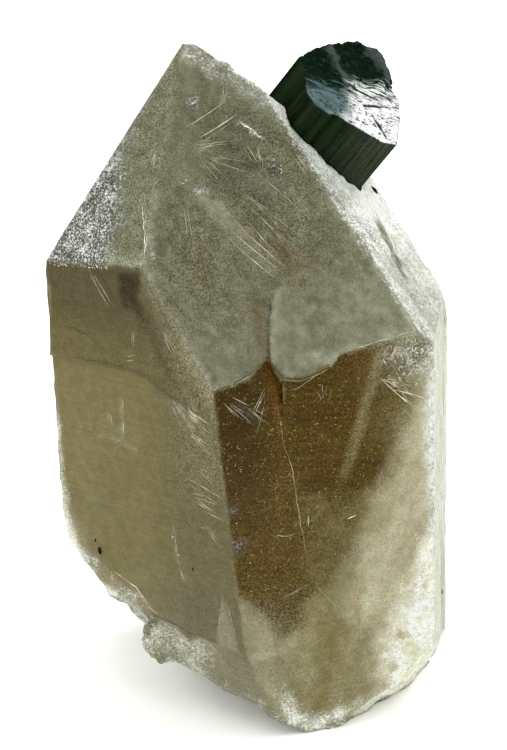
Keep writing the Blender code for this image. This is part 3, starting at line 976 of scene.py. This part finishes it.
# Fans of needles on each face: root, direction, spread, how many, shortest, longest.
FANS = (
    ("tip_front", (
        ((-9.4, 24.6), -30, 44, 22, 3, 8.5),
        ((-9.6, 25.2), 5, 20, 4, 2, 4),
        ((-1, 22.5), 105, 30, 8, 1.2, 2.4),
        ((-2.6, 24), -70, 14, 3, 2, 3.2),
        ((3, 17.5), -50, 20, 7, 2, 4),
        ((-4, 18), -46, 12, 7, 5, 12),
        ((-1.5, 13.5), -52, 10, 5, 3, 6),
        ((-11.5, 17), -85, 12, 3, 2.5, 5),
        ((4, 23), -60, 20, 4, 2, 4),
    )),
    ("tip_front_left", (((-3, 20), -70, 30, 5, 1.5, 3.5),)),
    ("front_left", (
        ((-8, 19.2), -52, 8, 3, 4, 6.5),
        ((5.6, 4.4), -50, 18, 12, 2.5, 6.5),
        ((8.5, 3.5), -30, 26, 15, 1.8, 4),
        ((9, 0), -24, 26, 14, 2, 4.5),
        ((10, -4), -24, 30, 8, 1.5, 3.5),
        ((5, 13), -60, 20, 7, 1, 3),
        ((9, -8.4), -18, 22, 5, 2, 4.5),
        ((10.5, -11.5), -48, 10, 4, 2, 4),
        ((-1, 10.6), 80, 8, 2, 1.5, 2.5),
        ((-2, 8), 18, 6, 3, 1.5, 2.2),
    )),
    ("front_right", (
        ((11.8, 8), -118, 20, 8, 2, 5),
        ((9.4, 3.6), -28, 26, 14, 3, 6.8),
        ((13.2, 6.5), -75, 30, 14, 1.5, 3.6),
        ((-8.2, 1.2), 62, 8, 3, 2, 3.6),
        ((-12, 3.2), -40, 12, 5, 1.8, 6),
        ((-8.4, 1.6), -40, 8, 3, 1.5, 4),
        ((12.5, -26), 60, 60, 9, 1, 2.6),
        ((14, -19), 40, 50, 8, 0.8, 1.8),
        ((-1, -15), 60, 60, 6, 1, 2),
        ((1.5, 2), 95, 40, 5, 0.8, 2),
    )),
    ("right", (((3, 10), -60, 30, 14, 3, 9),)),
    ("back_right", (((-2, 6), -75, 34, 16, 3, 10),)),
    ("back", (((1, -4), 60, 40, 16, 3, 9),)),
    ("left", (((-2, 8), -80, 30, 14, 3, 9),)),
    ("tip_back_right", (((1, 14), -70, 40, 14, 2, 7),)),
    ("tip_left", (((0, 15), -80, 40, 12, 2, 6),)),
)
# Single needles on each face: width, one end, other end.
NEEDLES = (
    ("tip_front", (
        (0.19, (-8.6, 26.2), (-2.9, 29.2)),
        (0.10, (-8.2, 25.7), (-4, 28)),
        (0.12, (-10.4, 27.6), (-4, 31.2)),
        (0.16, (-4.1, 33.6), (-4.7, 30.9)),
        (0.10, (-3.6, 33.4), (-4.6, 30.9)),
        (0.16, (-7.4, 13.4), (-1.1, 6.5)),
        (0.10, (-6.6, 14), (-0.2, 7.4)),
        (0.12, (-4.6, 13.4), (0.3, 7.9)),
        (0.10, (-8, 19), (-3.6, 12)),
        (0.10, (-2, 21.5), (6, 12.5)),
        (0.10, (-2.4, 25.2), (-1.3, 22.4)),
    )),
    ("front_left", (
        (0.12, (7.3, -5.9), (14.2, -7.4)),
        (0.07, (7.6, -6.6), (13.2, -8.4)),
        (0.10, (10, -9.8), (14.3, -10.4)),
        (0.07, (10.4, -11.9), (13.4, -14.6)),
        (0.08, (9.4, -12.4), (11.6, -12)),
    )),
    ("front_right", (
        (0.18, (8.8, 3.9), (15.7, -2.5)),
        (0.20, (10.4, 2), (16, -0.1)),
        (0.18, (11.8, 0.9), (15.7, -2.2)),
        (0.20, (14.1, 4.6), (15.2, 1)),
        (0.18, (12.1, -0.7), (13.7, -2.4)),
        (0.17, (10.4, 2.2), (13.4, 2.3)),
        (0.20, (9.1, 5), (10, 6.9)),
        (0.15, (10.9, 5), (12.9, 1.2)),
        (0.08, (-8.5, -3), (-6.6, 3.2)),
        (0.22, (4.1, -14.7), (5.5, -14.3)),
        (0.10, (-5.4, -24.3), (-1.2, -22.6)),
        (0.10, (-0.4, -23), (2.4, -26.4)),
    )),
)
NEEDLE_DEPTH = -0.01
FAN_THICKNESS = 0.05
NEEDLE_THICKNESS = 0.06


def make_needles(material, ground):
    chance = random.Random(11)
    strands = Strands(ground)
    for face, fans in FANS:
        normal = face_axes(face)[0]
        widths = (0.035, 0.07) if face == "tip_front" else (0.05, 0.11)
        for root, aim, spread, count, short, long in fans:
            for _ in range(count):
                turn = math.radians(aim + chance.gauss(0, spread * 0.5))
                reach = chance.uniform(short, long)
                begin = (root[0] + chance.uniform(-0.6, 0.6), root[1] + chance.uniform(-0.6, 0.6))
                end = (begin[0] + math.cos(turn) * reach, begin[1] + math.sin(turn) * reach)
                width = chance.uniform(*widths)
                path = line_on(face, begin, end, NEEDLE_DEPTH, chance.uniform(-0.015, 0.015))
                strands.strand(path, width, FAN_THICKNESS, normal)
    for face, needles in NEEDLES:
        for width, begin, end in needles:
            path = line_on(face, begin, end, NEEDLE_DEPTH, chance.uniform(-0.02, 0.02))
            strands.strand(path, width, NEEDLE_THICKNESS, face_axes(face)[0])
    return strands.finish("needles", material)


# Short flecks: face, tone they follow, box they lie in, tries, lengths, widths, aim, spread.
# White flecks stand for frost grains, partly as painted glints.
WHITE_FLECKS = (
    ("tip_front_left", "frost", (-14, 0, 1.5, 27), 3600, (0.2, 0.5), (0.08, 0.17), -50, 30),
    ("front_right", "frost", (8, 18, -39, -19), 1500, (0.2, 0.7), (0.06, 0.18), 60, 90),
    ("front_right", "frost", (-8, 6, -43, -35), 900, (0.2, 0.6), (0.08, 0.2), 20, 60),
    ("front_right", "frost", (9, 17.5, -19, 9), 1400, (0.3, 0.9), (0.06, 0.14), -60, 40),
    ("tip_front", "frost", (-14, 18, 0, 39), 4200, (0.2, 0.6), (0.08, 0.18), -30, 60),
    ("rough_tip", "frost", (-9, 12, -7, 29), 2600, (0.4, 1.6), (0.06, 0.14), -88, 12),
    ("front_left", "frost", (-17, 8, -26, 4), 2400, (0.2, 0.6), (0.08, 0.18), -50, 60),
)
YELLOW_FLECKS = (
    ("front_right", "window", (-14, 13, -29, 8), 2400, (0.12, 0.5), (0.04, 0.11), 20, 50),
    ("front_right", "pale", (7, 16.5, -32, -14), 260, (0.1, 0.35), (0.05, 0.12), 40, 60),
    ("front_right", "grit", (-8, 12, -40, -22), 500, (0.1, 0.3), (0.04, 0.09), 40, 60),
    ("front_left", "grit", (4, 15, -24, 8), 500, (0.1, 0.35), (0.04, 0.09), -40, 60),
    ("front_left", "grit", (1, 10, 8, 20), 420, (0.1, 0.5), (0.05, 0.12), -60, 40),
)
FLECK_THICKNESS = 0.04
FLECK_REACH = 0.5


def make_flecks(name, table, material, ground):
    chance = random.Random(17)
    strands = Strands(ground, FLECK_REACH)
    for face, key, (left, right, low, high), tries, (short, long), widths, aim, spread in table:
        normal = face_axes(face)[0]
        xs = np.array([chance.uniform(left, right) for _ in range(tries)])
        ys = np.array([chance.uniform(low, high) for _ in range(tries)])
        for x, y, wanted in zip(xs, ys, TONES[face](xs, ys)[key]):
            turn = math.radians(aim + chance.gauss(0, spread))
            reach = short + (long - short) * chance.random() ** 2
            if chance.random() > wanted:
                continue
            end = (x + math.cos(turn) * reach, y + math.sin(turn) * reach)
            path = line_on(face, (x, y), end, 0, chance.uniform(-0.3, 0.3), 2)
            strands.strand(path, chance.uniform(*widths), FLECK_THICKNESS, normal)
    return strands.finish(name, material)


# Seams on each face: width and corners.
DARK_SEAMS = (
    ("front_left", (
        (0.16, (-15.4, 6.2), (-12.5, 6.6), (-9, 6.7), (-6.1, 7.1), (-2, 7.1), (1.1, 6.8),
         (5.4, 5), (7.5, 3.6)),
        (0.16, (-6.6, 19.8), (-5.2, 18), (-3.6, 15.7), (-2.6, 13.6)),
        (0.12, (-15.5, 10.4), (-11.3, 10.6), (-8.2, 9.9), (-5.9, 8.9), (-4.2, 7.6)),
        (0.14, (-3.5, -26), (0, -27.3), (3.5, -27.6), (8, -28.2), (11.5, -28.6)),
        (0.10, (1.8, 20.4), (4.5, 16.2), (7.2, 12.6), (9.8, 9.2)),
    )),
    ("front_right", (
        (0.12, (-13.4, 4), (-10, 5.4), (-7.4, 6.4)),
        (0.12, (5.4, 6.4), (9, 7.5), (13.4, 8.9)),
    )),
    ("rough_tip", (
        (0.20, (4.2, 6.6), (3.1, 4.6), (1.2, 2.4), (-0.6, 0.8)),
        (0.12, (5.2, 5.6), (3.8, 3), (1.8, 0.4)),
    )),
)
PALE_SEAMS = (
    ("front_left", (
        (0.11, (-3.1, 2.6), (-3.3, 1.2), (-3.1, 0.4)),
        (0.17, (-3.3, -0.6), (-3.5, -1.8), (-3.4, -3)),
        (0.13, (-5.8, 0), (-5.4, -1), (-5.7, -2)),
        (0.12, (-7.8, -3.5), (-7.2, -4), (-6.4, -3.4)),
        (0.13, (-5.2, -3.2), (-4.2, -3.7), (-3, -4.4), (-1.9, -4.8)),
        (0.13, (5, -14.5), (5.3, -17), (5.5, -18.6)),
        (0.15, (5.6, -18.9), (6.1, -20.2), (6.9, -21.2)),
    )),
    ("front_right", (
        (0.09, (-5.2, 2.6), (-4.5, -3), (-3.3, -7.1), (-2.6, -12.6), (-1.9, -16.7), (-1.4, -20.8)),
    )),
    ("front_left", (
        (0.26, (-6.9, -22.8), (-4.4, -23.5), (-2.5, -24.1), (-1.8, -24.9), (-1, -25.4), (0.6, -26.5)),
        (0.14, (-3, -24), (-2.4, -25), (-1.6, -25.3), (0.2, -26.6), (2.6, -27.4)),
    )),
    ("front_right", ((0.12, (-6.8, -15.4), (-4, -15.9), (-2.2, -15.5)),)),
    ("front_left", (
        (0.07, (13.1, -21), (12.3, -25.5), (11.4, -28.5)),
        (0.07, (13.5, -21), (15, -25.5), (15.8, -28.6)),
    )),
    ("front_right", (
        (0.16, (-3.6, 3.3), (-2, 3.7), (0.1, 5), (2.2, 6.2), (3, 7.1)),
        (0.08, (3.2, 7.2), (5, 7.7), (9.1, 8.4), (11.9, 8.9), (14.8, 9.3)),
        (0.10, (-13.2, 4.4), (-10.8, 4.9), (-8.1, 5.9), (-7, 6.6)),
    )),
    ("rough_tip", ((0.10, (-3.6, 14), (-4.4, 8), (-4.6, 0), (-5, -6)),)),
    ("tip_front", (
        (0.10, (-4.4, 15.6), (-2.4, 12.4), (-0.8, 10.2), (0.1, 8.8)),
        (0.12, (-16.4, 19.5), (-17, 15), (-17.5, 11), (-18, 9.6)),
    )),
    ("rough_tip", (
        (0.16, (-1.2, 9), (-1.9, 2), (-1.5, -4.5)),
        (0.14, (1.4, 5), (0.6, 0.5), (0.9, -4), (2.8, -6)),
    )),
)
BRIGHT_SEAMS = (
    ("front_right", (
        (0.26, *SQUARE_MARKS[0], (9.2, -35.6)),
        (0.24, *SQUARE_MARKS[1], (10.2, -31.6)),
        (0.16, (13.1, -31.6), (13.7, -32.1), (14.4, -33)),
        # These three lines along the right edge are painted glints.
        (0.14, (16.7, 6), (16.6, 0), (16.7, -8), (16.5, -16), (16.6, -24), (16.3, -31)),
        (0.20, (15.9, 2), (16.1, -4), (15.8, -9)),
        (0.14, (15.6, -14), (16, -20), (15.4, -27)),
    )),
    ("tip_front", (
        (0.24, (-2.9, 28.6), (-2.3, 27.4), (-1.4, 27), (-0.6, 25.9), (0.3, 25.6), (0.5, 24.4)),
        (0.12, (-2.6, 27.9), (-1.9, 27.6), (-1.2, 26.2), (-0.2, 25)),
        (0.16, (-16.8, 18.8), (-17.2, 15), (-17.8, 11), (-18.2, 9.6)),
        (0.12, (-9.9, 38.4), (-8.4, 37.6), (-7.2, 37.3), (-6, 36)),
    )),
)
SEAM_STEP = 0.5
SEAM_STRAY = 0.08
SEAM_THICKNESS = 0.06
# Dark bits: face, place, size. They are half as long again as wide.
DARK_BITS = (
    ("front_left", (-9, -20.5), 0.45),
    ("front_left", (-9.7, -19.2), 0.25),
    ("rough_tip", (9.9, 9.9), 0.75),
    ("right", (-2, -29.6), 0.4),
    ("front_left", (8.1, -18.6), 0.22),
)
BIT_RISE = 0.08
BIT_STRETCH = 1.5


def straying_path(face, corners, chance):
    """Points close together along a line with corners, each a little off it."""
    path = []
    for (ax, ay), (bx, by) in zip(corners, corners[1:]):
        steps = max(2, round(math.hypot(bx - ax, by - ay) / SEAM_STEP))
        for i in range(steps):
            t = i / steps
            x = ax + (bx - ax) * t + chance.uniform(-SEAM_STRAY, SEAM_STRAY)
            y = ay + (by - ay) * t + chance.uniform(-SEAM_STRAY, SEAM_STRAY)
            path.append(on_face(face, x, y))
    return path


def make_seams(name, table, material, ground):
    chance = random.Random(len(name))
    strands = Strands(ground)
    for face, seams in table:
        for width, *corners in seams:
            path = straying_path(face, corners, chance)
            strands.strand(path, width, SEAM_THICKNESS, face_axes(face)[0])
    return strands.finish(name, material)


def make_bits(material, ground):
    chance = random.Random(5)
    strands = Strands(ground)
    for face, (x, y), size in DARK_BITS:
        normal, x_side, y_side = face_axes(face)
        place = on_face(face, x, y, BIT_RISE)
        strands.chip(place, x_side, y_side * BIT_STRETCH, normal, size, chance)
    return strands.finish("dark_specks", material)


def mottled_surface(name, dark, light, noise, turn, roughness, specular):
    """A surface that goes from a dark to a light colour where its noise passes the turn."""
    g = Surface(name)
    share = g.noise(*noise)
    if turn:
        share = g.span(share, *turn)
    g.set(Base_Color=g.mix(dark, light, share), Roughness=roughness, Specular_IOR_Level=specular)
    return g


def needle_material():
    dark, light = (0.30, 0.28, 0.18), (0.68, 0.66, 0.50)
    g = mottled_surface("pale_needles", dark, light, (0.5, 2), (0.4, 0.6), 0.35, 0.3)
    g.set(IOR=1.55, Normal=g.bump(g.noise(4, 2), 0.03, 0.4))
    return g.material


def white_material():
    dark, light = (0.34, 0.35, 0.28), (0.92, 0.93, 0.88)
    return mottled_surface("white_flecks", dark, light, (1.3, 3), (0.36, 0.58), 0.4, 0.2).material


def yellow_material():
    dark, light = (0.20, 0.15, 0.05), (0.62, 0.54, 0.28)
    return mottled_surface("yellow_flecks", dark, light, (1.7, 2), (0.4, 0.62), 0.4, 0.2).material


def dark_seam_material():
    dark, light = (0.030, 0.025, 0.010), (0.07, 0.058, 0.026)
    return mottled_surface("dark_seams", dark, light, (0.8,), None, 0.5, 0.2).material


def dark_bit_material():
    dark, light = (0.006, 0.006, 0.004), (0.03, 0.025, 0.012)
    return mottled_surface("dark_bits", dark, light, (3,), None, 0.5, 0).material


# Elbaite


def elbaite_frame():
    """Two directions across the elbaite and its axis."""
    axis = direction(*ELBAITE_AXIS)
    azimuth = math.radians(ELBAITE_AXIS[0])
    level = Vector((math.cos(azimuth), math.sin(azimuth), 0))
    x_side = Matrix.Rotation(math.radians(ELBAITE_SPIN), 3, axis) @ level
    return x_side, axis.cross(x_side), axis


def end_values(local, u, v, end):
    """Where the elbaite's end has etched marks, a painted sheen, and how much light falls on it."""
    uneven = 0.35 * grain(local, 0.7, 27)
    line_up = off_line(u, v, (2.2, -2.4), (6, 2.9)) + 0.6 * uneven
    line_down = off_line(u, v, (3.8, -2.9), (7.3, -4.9)) + 0.6 * uneven
    etched = smooth(0.30, 0.10, np.minimum(line_up, line_down))
    near_painted_sheen = smooth(1.3, 0.1, off_line(u, v, (-6.4, 2.6), (-2, 0.6)) + 1.5 * uneven)
    far_painted_sheen = smooth(1.6, 0.6, off_line(u, v, (-1.8, 9.3), (2.6, 6.6)) + uneven)
    painted_sheen = 0.7 * np.maximum(near_painted_sheen, far_painted_sheen)
    lit = smooth(-3.2, 2.4, u + 0.25 * v + 1.5 * grain(local, 1.3, 25))
    return {"etched": etched * end, "painted_sheen": painted_sheen * end, "lit": lit * end}


def make_elbaite(material):
    mesh = even_copy("elbaite_crystal", "elbaite", *ELBAITE_MESH)
    points, normals = points_of(mesh), normals_of(mesh)
    x_side, y_side, axis = (np.array(v) for v in elbaite_frame())
    local = points - np.array(ELBAITE_END)
    u, v, w = local @ x_side, local @ y_side, local @ axis
    end = smooth(0.55, 0.85, normals @ axis) * smooth(-2, -1, w)
    side = 1 - np.clip(np.abs(normals @ axis) * 1.2, 0, 1)
    beyond = (v - 1.25 * u + 2.2) / math.hypot(1, 1.25) - 1.1 * smooth(0.5, -4, u)
    beyond = beyond + 0.35 * grain(local, (1.4, 1, 1), 26)
    torn = smooth(-0.2, 0.8, beyond) * end
    high = smooth(3, 5, beyond) * end
    across = np.stack([u, v, 0 * u], axis=1)
    height = side * (0.045 * grain(across, 0.45, 21) + 0.03 * grain(across, 1.3, 22))
    height += (0.08 * torn + 0.10 * high) * grain(local, (1.6, 0.8, 1), 23)
    height += (0.04 * torn + 0.07 * high) * grain(local, 0.55, 24)
    put_points(mesh, points + normals * height[:, None])
    # The side share stored here places the brighter painted glints on the ridges.
    put_values(mesh, end=end, torn=torn, beyond=beyond, bright_side=smooth(1, 8, u) * side)
    put_values(mesh, **end_values(local, u, v, end))
    smooth_shade(mesh, ELBAITE_SHARP)
    made = add_piece("elbaite", mesh, material)
    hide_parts("elbaite_crystal")
    return made


ELBAITE_BLACK = (0.0045, 0.0115, 0.0035)
ELBAITE_GREEN = (0.013, 0.026, 0.010)
# Painted glints along the side ridges.
PAINTED_RIDGE_GLINT = (0.058, 0.066, 0.048)
ELBAITE_SPECK = (0.10, 0.13, 0.09)
SLOPE_DARK = (0.0035, 0.0100, 0.0045)
SLOPE_LIGHT = (0.030, 0.046, 0.036)
# Painted sheen: a grey streak of reflected light on the end.
PAINTED_SHEEN = (0.070, 0.090, 0.082)
# Painted reflection: the blue gloss on the end's flat part.
PAINTED_GLOSS_PALE = (0.060, 0.105, 0.110)
PAINTED_GLOSS_DEEP = (0.034, 0.068, 0.066)
# Painted highlight: the white gleams on the end's torn part.
PAINTED_GLEAM = (0.74, 0.80, 0.76)
ELBAITE_IOR = 1.64


def euler_of(axes):
    return tuple(Matrix(axes).transposed().to_euler("XYZ"))


def elbaite_side(g, ridges, along):
    """Near black sides with grey-green lines along the ridges, painted glints that grow brighter towards
    one side.
    """
    speck = g.noise(4, 3, roughness=0.8)
    colour = g.mix(ELBAITE_BLACK, ELBAITE_GREEN, g.span(g.noise(0.6, 2, along), 0.38, 0.66))
    bright = g.times(g.value("bright_side"), g.span(ridges, 0.38, 0.62, 0.2, 0.8))
    line = g.plus(g.span(ridges, 0.50, 0.72, 0, 0.32), bright)
    line = g.times(line, g.span(speck, 0.35, 0.62, 0.5, 1.35))
    colour = g.mix(colour, PAINTED_RIDGE_GLINT, line)
    return g.mix(colour, ELBAITE_SPECK, g.span(speck, 0.64, 0.72, 0, 0.5))


def elbaite_end(g, slanted, etched, torn, beyond, lit, past, ragged):
    """The end's colour: dark, with a painted sheen, a painted blue reflection on its flat part and
    painted gleams above.
    """
    rubble = g.noise(1.6, 5, slanted((0.7, 1.6, 1)), 0.7)
    slope = g.mix(SLOPE_DARK, SLOPE_LIGHT, g.span(rubble, 0.52, 0.72))
    # Painted sheen along the end's slope.
    slope = g.mix(slope, PAINTED_SHEEN, g.times(g.value("painted_sheen"), g.span(rubble, 0.3, 0.55, 0.4, 1)))
    # Painted reflection: a blue gloss on the flat part, where the end is less lit.
    cool = g.times(g.span(past, 0.9, -1.2), g.span(lit, 0.75, 0.2))
    blue = g.mix(PAINTED_GLOSS_PALE, PAINTED_GLOSS_DEEP, g.span(ragged, 0.42, 0.56))
    slope = g.mix(slope, blue, g.times(cool, g.minus(1, g.times(etched, 0.8))))
    # Painted highlight: white gleam streaks on the torn part, where it faces the light.
    painted_gleam = g.times(g.span(ragged, 0.50, 0.525), g.span(beyond, 3.8, 1.6), torn, g.span(lit, 0.1, 0.8))
    return g.mix(slope, PAINTED_GLEAM, g.times(painted_gleam, 0.9))


def elbaite_mirror(g, slanted, etched, end, torn, beyond, lit, past, ragged):
    """How much of a mirror the end is: most on its flat part, in streaks on the torn one."""
    streak = g.span(g.noise(1.5, 4, slanted((0.3, 2, 1)), 0.7), 0.50, 0.53)
    kept = g.larger(g.minus(1, torn), g.times(streak, g.span(beyond, 3.6, 0.8, 0, 0.95)))
    furrow = g.times(g.span(ragged, 0.47, 0.43), g.span(beyond, -2.2, 0))
    kept = g.times(kept, g.span(past, 1.3, 0.2, 0.3, 1), g.minus(1, furrow))
    mirror = g.times(end, g.minus(1, etched), g.span(lit, 0.1, 0.9, 0.05, 1))
    return g.times(mirror, g.span(g.noise(0.8, 4), 0.35, 0.55, 0.8, 1), kept)


def elbaite_material():
    g = Surface("dark_elbaite")
    axes = elbaite_frame()
    slant = Matrix.Rotation(math.radians(ELBAITE_SLANT), 3, axes[2])
    slant_turn = euler_of([slant @ a for a in axes])
    end, torn, beyond, lit = (g.value(name) for name in ("end", "torn", "beyond", "lit"))

    def slanted(stretch):
        return g.stretched(stretch, slant_turn)

    along = g.stretched((1, 1, 0.02), euler_of(axes))
    ridges = g.noise(4.6, 3, along, 0.75)
    marks = g.noise(2, 4, slanted((0.8, 1.3, 1)), 0.7)
    etched = g.larger(g.value("etched"), g.times(g.span(marks, 0.555, 0.60), end))
    ragged = g.noise(1.3, 3, slanted((0.30, 2.4, 1)), 0.6)
    past = g.plus(beyond, g.span(ragged, 0.3, 0.7, -1.9, 1.9))
    end_colour = elbaite_end(g, slanted, etched, torn, beyond, lit, past, ragged)
    colour = g.mix(elbaite_side(g, ridges, along), end_colour, end)
    mirror = elbaite_mirror(g, slanted, etched, end, torn, beyond, lit, past, ragged)

    rough = g.plus(g.span(ridges, 0.3, 0.7, 0.18, 0.36), g.times(etched, 0.3))
    normal = g.bump(g.times(ridges, g.minus(1, end)), 0.25, 0.6)
    normal = g.bump(etched, 0.3, 0.5, normal)
    g.set(Base_Color=colour, Roughness=rough, Normal=normal, IOR=ELBAITE_IOR, Specular_IOR_Level=0)
    g.set(Coat_Weight=mirror, Coat_Roughness=0.09, Coat_IOR=ELBAITE_IOR)
    return g.material


# Floor, light and camera


def make_floor():
    mesh = bpy.data.meshes.new("floor")
    corners = [(x * FLOOR_HALF, y * FLOOR_HALF, 0) for x, y in ((-1, -1), (1, -1), (1, 1), (-1, 1))]
    mesh.from_pydata(corners, [], [(0, 1, 2, 3)])
    floor = new_object("floor", mesh)
    g = Surface("white_paper")
    g.set(Base_Color=(0.93, 0.93, 0.91), Roughness=0.7, Specular_IOR_Level=0)
    g.set(Emission_Color=(1, 1, 0.98), Emission_Strength=0.12)
    g.set(Normal=g.bump(g.noise(0.8, 2), 0.02, 0.1))
    mesh.materials.append(g.material)


def make_sky():
    """White all round, brighter behind the crystal and above it."""
    world = bpy.data.worlds.new("studio")
    bpy.context.scene.world = world
    world.use_nodes = True
    g = Graph(world.node_tree)
    toward = g.node("ShaderNodeSeparateXYZ")
    g.link(g.node("ShaderNodeTexCoord").outputs["Generated"], toward.inputs[0])
    back, up = toward.outputs["Y"], toward.outputs["Z"]
    behind = g.span(g.math("MULTIPLY_ADD", back, 0.5, up), -0.6, 0.6, 0.5, 1)
    background = world.node_tree.nodes["Background"]
    g.link(g.plus(g.times(up, up), behind), background.inputs["Strength"])
    g.link((1, 1, 1), background.inputs["Color"])


def make_lamp():
    """A soft lamp that the camera sees mirrored in the elbaite's end."""
    end = (ELBAITE_END + MIDDLE) * MM
    view = (camera_place() - end).normalized()
    normal = direction(*ELBAITE_AXIS)
    bounce = normal * (2 * normal.dot(view)) - view
    light = bpy.data.lights.new("key", "AREA")
    light.shape = "SQUARE"
    light.size = LAMP_SIDE
    light.energy = LAMP_POWER
    made = new_object("key", light)
    made.location = end + bounce * LAMP_DISTANCE
    made.rotation_euler = (-bounce).to_track_quat("-Z", "Y").to_euler()


def camera_place():
    return (MIDDLE + direction(0, CAMERA_RISE) * CAMERA_DISTANCE) * MM


def make_camera():
    data = bpy.data.cameras.new("camera")
    data.sensor_fit = "VERTICAL"
    data.sensor_height = SENSOR
    data.lens = FOCAL_PIXELS / PHOTO_HEIGHT * SENSOR
    made = new_object("camera", data)
    made.location = camera_place()
    made.rotation_euler = (MIDDLE * MM - made.location).to_track_quat("-Z", "Y").to_euler()
    bpy.context.scene.camera = made


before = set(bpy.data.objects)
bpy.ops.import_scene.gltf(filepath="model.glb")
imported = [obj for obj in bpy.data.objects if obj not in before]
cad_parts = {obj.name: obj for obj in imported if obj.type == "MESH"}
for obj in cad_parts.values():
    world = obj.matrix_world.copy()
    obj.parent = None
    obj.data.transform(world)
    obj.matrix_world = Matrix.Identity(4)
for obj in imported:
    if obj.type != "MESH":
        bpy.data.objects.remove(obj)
bpy.context.view_layer.update()
make_camera()
make_floor()
make_sky()
make_lamp()
quartz = make_quartz(quartz_material())
corners = [v.co for v in quartz.data.vertices]
skin = BVHTree.FromPolygons(corners, [p.vertices for p in quartz.data.polygons])
pale_strands = needle_material()
white_strands = white_material()
make_needles(pale_strands, skin)
make_flecks("white_flecks", WHITE_FLECKS, white_strands, skin)
make_flecks("yellow_flecks", YELLOW_FLECKS, yellow_material(), skin)
make_seams("pale_seams", PALE_SEAMS, pale_strands, skin)
make_seams("bright_seams", BRIGHT_SEAMS, white_strands, skin)
make_seams("dark_seams", DARK_SEAMS, dark_seam_material(), skin)
make_bits(dark_bit_material(), skin)
make_elbaite(elbaite_material())
bpy.context.scene.view_settings.view_transform = "Standard"
bpy.context.view_layer.update()
